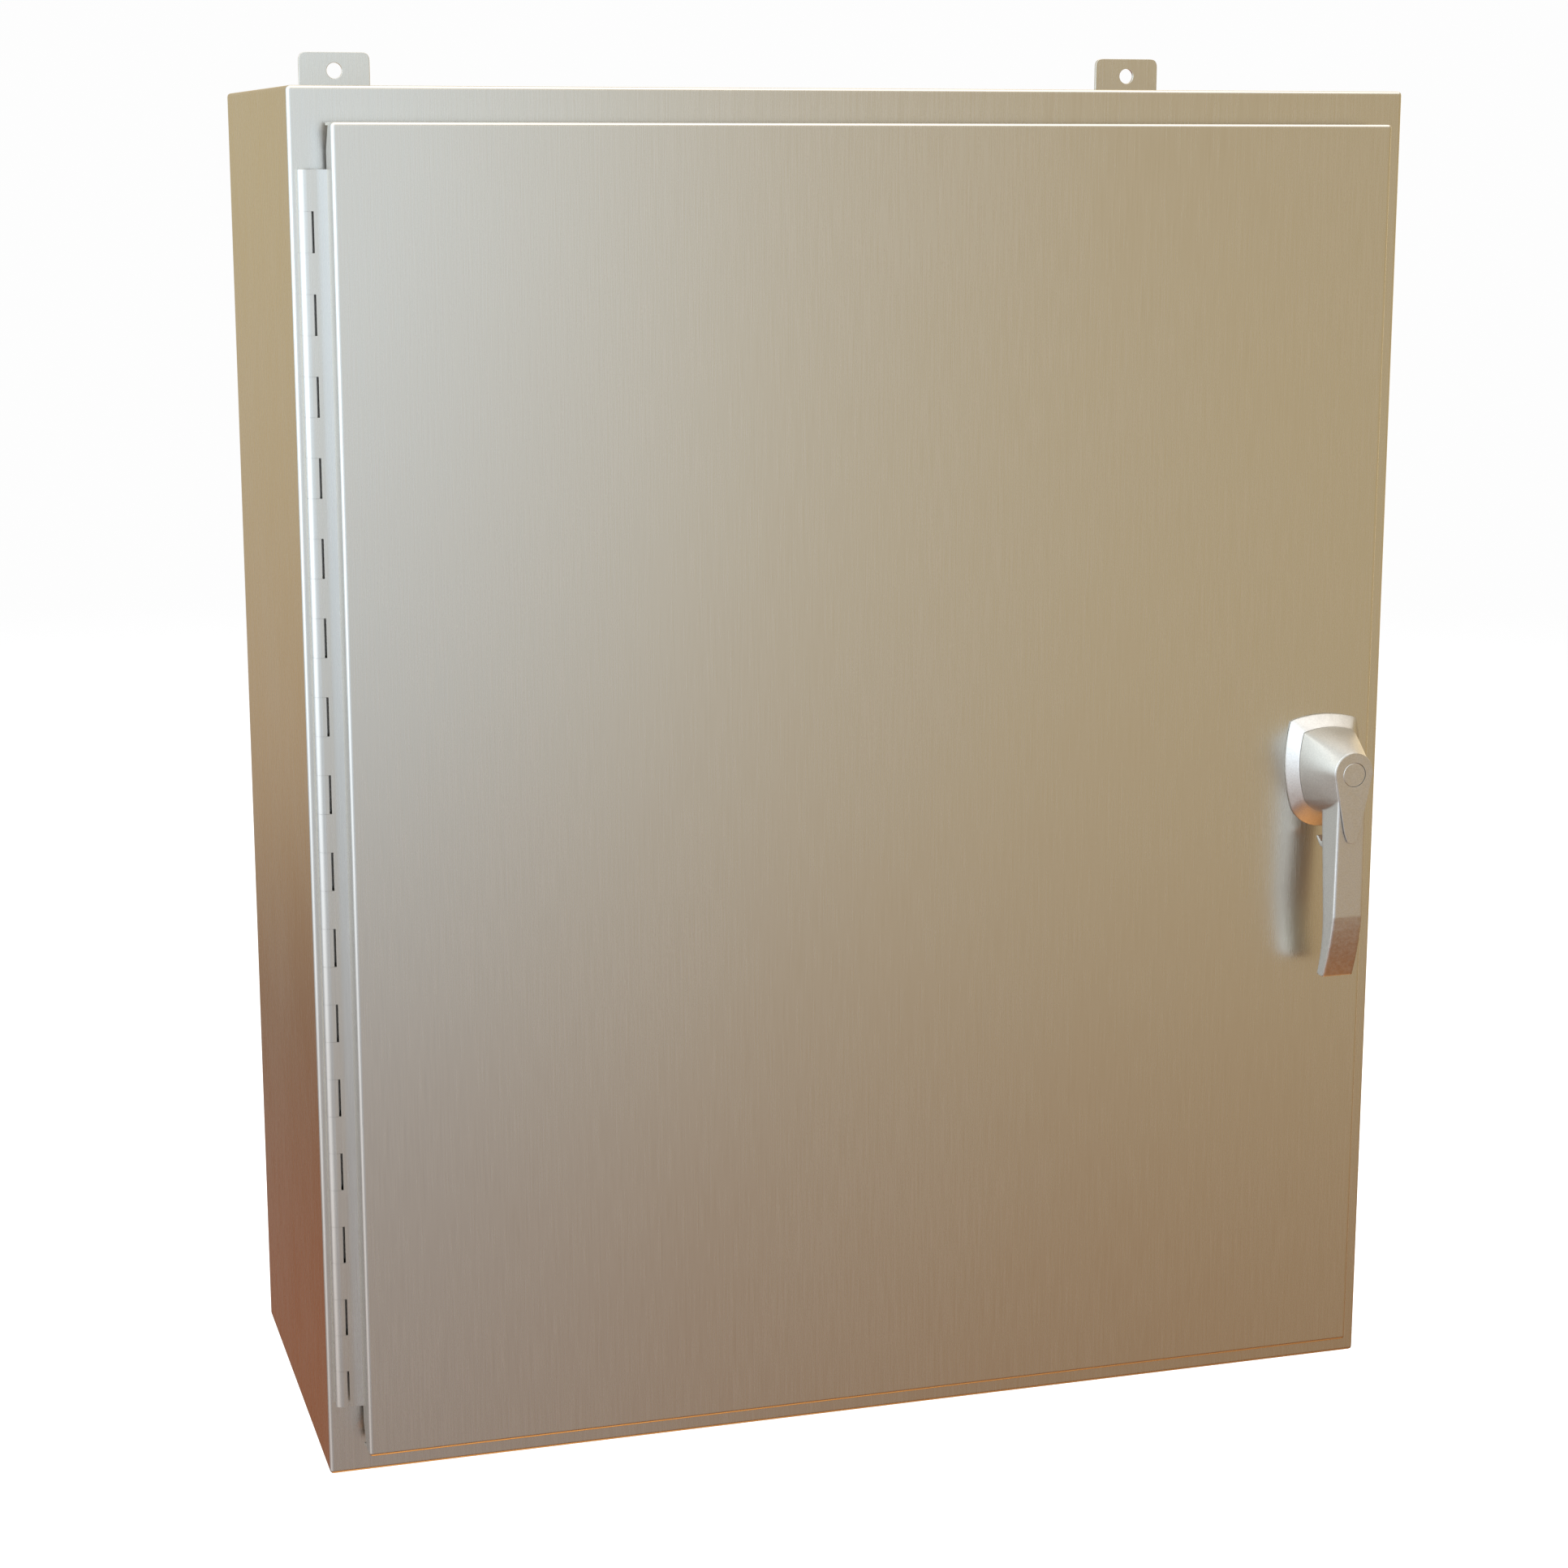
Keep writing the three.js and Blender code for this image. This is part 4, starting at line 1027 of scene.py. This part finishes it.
def ground_bar():
    (x0, y0, z0), (x1, y1, z1) = span("ground_bar")
    bar = prism(rectangle(y0, y1, z0, z1, 1.2), x0, x1, "x")
    places = [x0 + 12 + i * 16 for i in range(7)]
    wires = [drill(3.2, z0 - 1, z1 + 1, (x, y1 - 7.7), "z") for x in places]
    piece("ground_bar_copper", cut(bar, beside(*wires)), "ground_bar", edge=0.3)
    middle = (z0 + z1) / 2
    screws = [cap_screw(4.2, y0 - 2.6, y0 - 0.05, (x, middle)) for x in places]
    fasteners("ground_bar_screws", "cabinet", *screws)


def switch_base():
    """A slab with deep barriers beside the line terminals and shallow ones beside the fuses."""
    low, high = span("switch_base")
    front = low[1] + 42
    top, foot = 140, 10
    walls = [low[0] + 2, *BARRIERS, high[0] - 2]
    slab = block((low[0], front, low[2]), high, 3)
    ribs = [block((x - 2, low[1], top), (x + 2, front + 1, high[2]), 1.2) for x in walls]
    ribs += [block((x - 2, front - 16, low[2]), (x + 2, front + 1, foot), 1.2) for x in walls]
    screws = [(x, z) for x in (71.5, 254.5) for z in (126, -143)]
    wells = [drill(6.2, front - 1, front + 4, c) for c in screws]
    gutters = [block((x - 4.5, front - 1, foot + 12), (x + 4.5, front + 1.6, top - 12), 4)
               for x in BARRIERS]
    moulding = cut(join(slab, beside(*ribs)), beside(*wells, *gutters))
    piece("base_moulding", moulding, "switch_base", edge=0.5)
    fasteners("base_screws", "cabinet", *[cap_screw(4.8, front + 0.6, front + 4, c) for c in screws])


def line_shield():
    low, high = span("line_shield")
    places = [(x, (low[2] + high[2]) / 2) for x in BARRIERS]
    holes = [drill(1.9, low[1] - 1, high[1] + 1, c) for c in places]
    piece("shield_sheet", cut(block(low, high, 4), beside(*holes)), "line_shield", edge=0.4)
    fasteners("shield_screws", "cabinet", *[cap_screw(3.4, low[1] - 2.2, low[1] - 0.05, c) for c in places])


# ---- Switch poles ----
STRAP_FRONT, STRAP_BACK = -68.3, -64.3
SEAT = STRAP_BACK - 1               # where clips and ears are sunk into a strap


def spring_clip(x, slot, z0, z1, front):
    """Two leaves with a flared mouth, each pressed in by a wire spring near its middle."""
    parts = []
    for side in (-1, 1):
        line = x + side * (slot / 2 + 1.1)
        path = [(line, SEAT), (line, front + 6), (line + side * 2.2, front)]
        parts.append(folded(path, 2.2, 1.2, z0, z1, "z"))
        parts.append(rod(1.0, z0 + 1.5, z1 - 1.5, (line + side * 2.0, (front + SEAT) / 2), "z", 0.3, 20))
    return parts


def wire_lug(x, z0, z1):
    middle = (z0 + z1) / 2
    body = moved(block((-14, -100, z0), (14, -65.3, z1), 2.5), x)
    wire = drill(8, z0 - 1, z1 + 1, (x, -84), "z")
    socket = drill(6.2, -101, -98, (x, middle))
    return [cut(body, wire, socket), cap_screw(5.5, -103, -91, (x, middle), drive="socket")]


def strap(x, z0, z1, screw_z):
    screw = cap_screw(3.8, STRAP_FRONT - 1.8, STRAP_FRONT + 1, (x, screw_z))
    return [moved(block((-12, STRAP_FRONT, z0), (12, STRAP_BACK, z1), 2.5), x), screw]


def terminals(i, x):
    """A pole's metal: lug and blade contact, blade pivot and upper fuse clip, lower fuse clip and lug."""
    line = strap(x, 138, 232, 182) + wire_lug(x, 190, 226) + spring_clip(x, 5.2, 146, 174, -116)
    piece(f"line_contact_{i}", beside(*line), f"line_terminal_{i}", edge=0.25)
    pivot = [rod(3, x - 7, x + 7, PIVOT, "x"), hexagon(9, x - 7.6, x - 4.9, PIVOT, "x"),
             hexagon(9, x + 4.9, x + 7.6, PIVOT, "x")]
    ear = rounded([(SEAT, 80), (-112, 80), (-112, 108), (SEAT, 108)], 8)
    ears = [prism(ear, *sorted((x + side * 2.6, x + side * 4.8)), "x") for side in (-1, 1)]
    fuse_end = strap(x, 22, 112, 68) + spring_clip(x, 5.8, 28, 56, -122) + ears + pivot
    piece(f"fuse_contact_{i}", beside(*fuse_end), f"fuse_terminal_{i}", edge=0.25)
    load = strap(x, -140, -54, -93) + wire_lug(x, -134, -100) + spring_clip(x, 5.8, -86, -58, -122)
    piece(f"load_contact_{i}", beside(*load), f"load_terminal_{i}", edge=0.25)


def fuse(i, x):
    """Fibre tube, a ferrule on each end with a rolled groove, and a knife blade out of each ferrule."""
    y, middle, half, radius = -105.0, -15.0, 38.0, 20.6
    low, high = middle - half, middle + half
    body = f"fuse_{i}_body"

    def round_part(profile):
        return turned(profile, (x, y), "z", 64)

    r, a, b = radius - 0.8, low + 1, high - 1
    barrel = [(0, a), (r - 0.2, a), (r, a + 0.5), (r, b - 0.5), (r - 0.2, b), (0, b)]
    piece(f"fuse_{i}_tube", round_part(barrel), f"fuse_{i}")
    r = radius - 0.75
    wrap = [(r, middle - 20), (r + 0.2, middle - 19.8), (r + 0.2, middle + 19.8), (r, middle + 20)]
    piece(f"fuse_{i}_wrap", round_part(wrap), body=body, slot="pocket_grey")
    rim = [(0, 0), (radius - 1.6, 0), (radius - 0.4, 0.5), (radius, 1.6), (radius, 10.4),
           (radius - 0.45, 11.2), (radius - 0.45, 12.4), (radius, 13.0), (radius - 0.2, 14), (0, 14)]
    metal = []
    for end, way in ((low, 1), (high, -1)):
        metal.append(round_part([(r, end + way * a) for r, a in rim]))
        outline = rectangle(y - 14.3, y + 14.3, *sorted((end - way * 35, end + way * 2)), 2.2)
        metal.append(prism(outline, x - 2.4, x + 2.4, "x"))
    piece(f"fuse_{i}_ends", beside(*metal), body=body, slot="tinned_copper", edge=0.3)


def knife_blade(i):
    low, high = span(f"blade_{i}")
    y, top = PIVOT[0], high[2]
    tip = [(y + 12, 172), (y + 10.5, 177), (y + 6, top), (y - 9, top), (y - 12, top - 3)]
    made = plate(arc(PIVOT, 12, 180, 360, 20) + tip, 3.4, low[0], high[0], PIVOT, "x")
    piece(f"knife_{i}", made, f"blade_{i}", edge=0.6)


def crossbar():
    """The bar carries the blades. Its arm reaches down past their pivot to a pin that the slide lifts."""
    (x0, y0, z0), (x1, y1, z1) = span("crossbar")
    bar = prism(rectangle(y0, y1, z0, z1, 3), x0, x1, "x")
    runs = [(a + 14, b - 14) for a, b in zip(POLES, POLES[1:])] + [(POLES[2] + 14, x1 - 8)]
    dents = [block((a, y0 - 1, z0 + 4), (b, y0 + 3, z1 - 4), 3) for a, b in runs]
    piece("crossbar_moulding", cut(bar, beside(*dents)), "crossbar", edge=0.5)
    middle = (z0 + z1) / 2
    screws = [cap_screw(5, y0 - 3, y0 - 0.05, (x, middle), drive="socket") for x in POLES]
    fasteners("crossbar_screws", "blades", *screws)

    (x0, _, _), (x1, _, _) = span("crossbar_arm")
    y, z = PIVOT
    lean = math.pi / 6
    a, b = y + 30 * math.cos(lean), z - 30 * math.sin(lean)
    outline = [(-136.8, 138), (-136.8, 112), (y - 4, z - 11), (a - 3, b - 8), (a + 7, b - 7), (a + 8, b + 6),
               (y + 11, z + 5), (-115.8, 138)]
    arm_plate = prism(rounded(outline, 3.5), x0, x0 + 4, "x")
    pin_rod = rod(3, x0 + 3, x1, (a, b), "x")
    screws = [cap_screw(3, x0 + 6.4, x0 + 4, (py, 127), "x") for py in (-131, -121.5)]
    piece("crossbar_arm_plate", join(arm_plate, pin_rod, beside(*screws)), "crossbar_arm", edge=0.3)


# ---- Mechanism ----
SLIDE_X = 302.5                     # middle of the operating slide
SLIDE_PINS = (45, 95)               # heights of the two pins that guide it


def mechanism_frame():
    (x0, y0, z0), (x1, y1, z1) = span("mechanism_frame")
    t = 2.5
    path = [(x0 + t / 2, y1), (x0 + t / 2, y0 + t / 2), (x1 - t / 2, y0 + t / 2), (x1 - t / 2, y1)]
    channel = folded(path, t, 2.0, z0, z1, "z")
    window = prism(rectangle(y0 + 6, y1 + 20, 55, z1 + 20, 8), x0 - 5, x0 + t + 3, "x")
    hole = drill(6.6, y0 - 1, y0 + 6, HANDLE_AXIS)
    slots = [prism(slot_outline(y0 + 30, y1 - 22, z - 9, z + 9), x1 - 6, x1 + 1, "x")
             for z in (-5, 35, 75, 115)]
    pins = []
    for z in SLIDE_PINS:
        pins += [rod(3, y0 + 1, -138, (SLIDE_X, z)), cap_screw(5, y0 - 2.2, y0 + 0.5, (SLIDE_X, z))]
    made = join(cut(channel, window, hole, beside(*slots)), beside(*pins))
    piece("mechanism_channel", made, "mechanism_frame", edge=0.3)


def operating_slide():
    """A plate that runs on two pins, lifted by the crank, with a flange that takes the crossbar arm's pin."""
    low, high = span("operating_slide")
    front, back = -145, -142
    r = 3.3
    sheet = block((291, front, low[2]), (314, back, high[2]), 3)
    flange = prism(rectangle(front, high[1], 68, 92, 3), 291, 294, "x")
    outlines = [slot_outline(SLIDE_X - r, SLIDE_X + r, z - 30 - r, z + r) for z in SLIDE_PINS]
    outlines.append(slot_outline(HANDLE_X - 24.5, HANDLE_X - 11.7, -19, -11))
    tools = [prism(outline, front - 1, back + 1) for outline in outlines]
    tools.append(prism(rectangle(-82.32, -71.7, 76.2, 83.8, 3.4), 290, 295, "x"))
    piece("slide_plate", cut(join(sheet, flange), beside(*tools)), "operating_slide", edge=0.3)


def drive_line():
    """Shaft from the rear bearing to the coupling behind the door, with the crank that lifts the slide."""
    low, high = span("drive_shaft")
    shaft = [(0, low[1]), (5.3, low[1]), (6, low[1] + 0.7)]
    for y in (low[1] + 108, low[1] + 116.2, low[1] + 130.5):
        shaft += [(6, y), (5.4, y + 0.05), (5.4, y + 1.0), (6, y + 1.05)]
    shaft += [(6, high[1] - 0.7), (5.3, high[1]), (0, high[1])]
    piece("drive_rod", turned(shaft, HANDLE_AXIS), "drive_shaft")

    low, high = span("shaft_coupling")
    front, back = low[1], high[1]
    profile = [(0, front), (12.4, front), (14, front + 1.6), (14, front + 10), (13.2, front + 11),
               (13.2, front + 13), (14, front + 14), (14, back - 1.2), (12.8, back), (0, back)]
    slot = moved(block((-2.5, front - 1, -20), (2.5, front + 8, 20), 0.3), HANDLE_X)
    hole = drill(SHAFT_HOLE, front + 10.7, back + 1, HANDLE_AXIS)
    grip = drill(2.2, HANDLE_X + 5, HANDLE_X + 20, (back - 5, 0), "x")
    piece("coupling_boss", cut(turned(profile, HANDLE_AXIS), slot, hole, grip), "shaft_coupling", edge=0.3)
    screw = cap_screw(2.1, HANDLE_X + 13.2, HANDLE_X + 10, (back - 5, 0), "x", "socket")
    fasteners("coupling_screw", "switch_shaft", screw)

    low, high = span("shaft_crank")
    front, back, pin = low[1], low[1] + 4, (HANDLE_X - 15, -15)
    arm_plate = prism(hull((HANDLE_AXIS, 10.5), (pin, 6)), front, back)
    collar = ring(SHAFT_HOLE, 9.4, front - 2.6, front + 0.5, HANDLE_AXIS)
    crank = cut(join(arm_plate, rod(3, front + 1, high[1], pin), collar),
                rod(SHAFT_HOLE, front - 4, back + 1, HANDLE_AXIS))
    piece("crank_plate", crank, "shaft_crank", edge=0.25)

    low, high = span("rear_bearing")
    housing = cut(block(low, high, 4), rod(SHAFT_HOLE, low[1] - 1, high[1] - 2, HANDLE_AXIS))
    rim = ring(7.4, 9.2, low[1] - 0.8, low[1] + 1, HANDLE_AXIS)
    piece("bearing_block", join(housing, rim), "rear_bearing", edge=0.4)
    places = [(HANDLE_X + dx, dz) for dx in (-9.5, 9.5) for dz in (-9.5, 9.5)]
    fasteners("bearing_screws", "cabinet", *[cap_screw(2.6, low[1] - 1.6, low[1] - 0.05, c) for c in places])


# ---- Stage ----
def studio_floor():
    """A wide round floor some way under the object, unseen in reflections."""
    bm = bmesh.new()
    bmesh.ops.create_circle(bm, cap_ends=True, radius=1.0, segments=96)
    floor = made_object(bm, "studio_floor")
    floor.location = (0, 0.4, CAD_BOX[0][2] - 0.62)
    floor.scale = (9, 9, 1)
    floor.data.materials.append(floor_paint())
    floor.visible_glossy = False


def key_light():
    light = bpy.data.lights.new("key_light", "AREA")
    light.shape, light.size, light.energy, light.color = "DISK", 2.4, 12, (0.95, 0.98, 1.0)
    made = bpy.data.objects.new("key_light", light)
    bpy.context.scene.collection.objects.link(made)
    made.location = (-2.2, -2.6, 2.4)
    made.rotation_euler = (Vector((0, -0.2, 0)) - made.location).to_track_quat("-Z", "Y").to_euler()


# Light by height, from straight down to straight up: sine of the height, then colour.
DOWN = [(-1.00, (1.9, 0.85, 0.22)), (-0.92, (0.70, 0.36, 0.14))]
UP = [(0.84, (1.9, 1.88, 1.85)), (1.00, (2.1, 2.1, 2.15))]
ROOM = [
    *DOWN, (-0.80, (0.33, 0.12, 0.03)), (-0.66, (0.29, 0.10, 0.03)), (-0.45, (0.37, 0.215, 0.11)),
    (-0.34, (0.40, 0.245, 0.13)), (-0.27, (0.56, 0.445, 0.285)), (-0.19, (0.65, 0.52, 0.31)),
    (-0.10, (0.65, 0.54, 0.325)), (0.00, (0.61, 0.485, 0.29)), (0.25, (0.64, 0.54, 0.37)),
    (0.62, (0.62, 0.52, 0.36)), *UP,
]
BEHIND = [
    *DOWN, (-0.70, (0.34, 0.10, 0.01)), (-0.35, (0.28, 0.07, 0.0)), (-0.27, (0.235, 0.10, 0.025)),
    (-0.19, (0.46, 0.30, 0.14)), (-0.10, (0.53, 0.39, 0.19)), (0.00, (0.57, 0.44, 0.21)),
    (0.25, (0.58, 0.46, 0.27)), (0.62, (0.60, 0.50, 0.35)), *UP,
]
WINDOW = [
    (-0.75, (0.30, 0.29, 0.30)), (-0.50, (0.37, 0.35, 0.37)), (-0.34, (0.425, 0.37, 0.355)),
    (-0.27, (0.535, 0.55, 0.595)), (-0.19, (0.70, 0.805, 0.945)), (-0.10, (1.12, 1.30, 1.52)),
    (0.00, (1.15, 1.36, 1.60)), (0.40, (1.2, 1.35, 1.5)), (1.00, (1.6, 1.7, 1.8)),
]
WINDOW_SIDE = (-0.966, -0.259, 0.0)
LAMP_SIDE = (0.556, 0.824, 0.1)
LAMP = (0.60, 0.49, 0.32, 1)
TABLE_SCALE = 0.4                   # keeps the tables' colours under 1 in a ramp, made good by the strength
BACKDROP = (0.984, 0.984, 0.984, 1)


def room():
    """World light: a warm room with a wide cool window on the left and a warm lamp behind on the right. The
    camera sees plain white past the object."""
    world = bpy.data.worlds.new("studio")
    bpy.context.scene.world = world
    world.use_nodes = True
    tree = world.node_tree
    tree.nodes.clear()

    def node(kind, inputs=None, **settings):
        return add_node(tree, kind, inputs, **settings)

    way = node("ShaderNodeTexCoord").outputs["Generated"]
    parts = node("ShaderNodeSeparateXYZ", {0: way}).outputs
    ends = {"Value": parts["Z"], "From Min": -1.0, "From Max": 1.0}
    share = node("ShaderNodeMapRange", ends).outputs["Result"]

    def smooth(value, low, high, to_low=0.0, to_high=1.0):
        ends = {"Value": value, "From Min": low, "From Max": high, "To Min": to_low, "To Max": to_high}
        return node("ShaderNodeMapRange", ends, interpolation_type="SMOOTHSTEP").outputs["Result"]

    def towards(direction):
        return node("ShaderNodeVectorMath", {0: way, 1: direction}, operation="DOT_PRODUCT").outputs["Value"]

    def maths(operation, a, b):
        return node("ShaderNodeMath", {0: a, 1: b}, operation=operation).outputs["Value"]

    def by_height(table):
        ramp = node("ShaderNodeValToRGB", {"Fac": share})
        stops = ramp.color_ramp.elements
        while len(stops) < len(table):
            stops.new(0.5)
        for stop, (sine, colour) in zip(stops, table):
            stop.position = (sine + 1) / 2
            stop.color = (*dimmer(colour, TABLE_SCALE), 1)
        return ramp.outputs["Color"]

    def mixed(share_of_b, a, b):
        return node("ShaderNodeMix", {0: share_of_b, 6: a, 7: b}, data_type="RGBA").outputs[2]

    def background(colour, strength):
        return node("ShaderNodeBackground", {"Color": colour, "Strength": strength}).outputs["Background"]

    aside = maths("ADD", towards(WINDOW_SIDE), smooth(parts["Y"], -0.3, 0.5, 0.0, -0.16))
    pane = maths("MULTIPLY", smooth(aside, -0.06, 0.14), smooth(parts["Z"], -0.8, -0.4))
    core = smooth(aside, 0.6, 0.97, 1.0, 2.0)
    panes = {0: by_height(WINDOW), "Scale": core}
    daylight = node("ShaderNodeVectorMath", panes, operation="SCALE").outputs["Vector"]
    warm = mixed(smooth(parts["Y"], -0.3, 0.5), by_height(ROOM), by_height(BEHIND))
    warm = mixed(smooth(towards(LAMP_SIDE), 0.8, 0.97), warm, LAMP)
    lit = background(mixed(pane, warm, daylight), 1 / TABLE_SCALE)
    seen = node("ShaderNodeLightPath").outputs["Is Camera Ray"]
    out = node("ShaderNodeMixShader", {0: seen, 1: lit, 2: background(BACKDROP, 1.0)}).outputs["Shader"]
    tree.links.new(out, node("ShaderNodeOutputWorld").inputs["Surface"])


def camera():
    made = bpy.data.objects.new("camera", bpy.data.cameras.new("camera"))
    bpy.context.scene.collection.objects.link(made)
    made.data.lens, made.data.sensor_width, made.data.clip_end = 70.25, 36, 60
    made.location = (-0.6453, -2.2375, 0.4189)
    made.rotation_euler = (math.radians(90 - 11.73), 0, math.radians(-16.81))
    bpy.context.scene.camera = made


bpy.context.scene.view_settings.view_transform = "Standard"
for build in (camera, room, studio_floor, key_light, cabinet_shell, door_pan, door_gasket):
    build()
for end in ("top", "bottom"):
    for side in ("left", "right"):
        mounting_foot(end, side)
for build in (hinge, handle_seal, handle_skirt, handle_lever, handle_cap, door_stiffener, document_pocket,
              spindle_parts, latch_cam):
    build()
latch_side("upper", lambda bm: bm)
latch_side("lower", flipped)
for build in (mounting_panel, ground_bar, switch_base, line_shield):
    build()
for i, x in enumerate(POLES, start=1):
    terminals(i, x)
    fuse(i, x)
    knife_blade(i)
for build in (crossbar, mechanism_frame, operating_slide, drive_line):
    build()
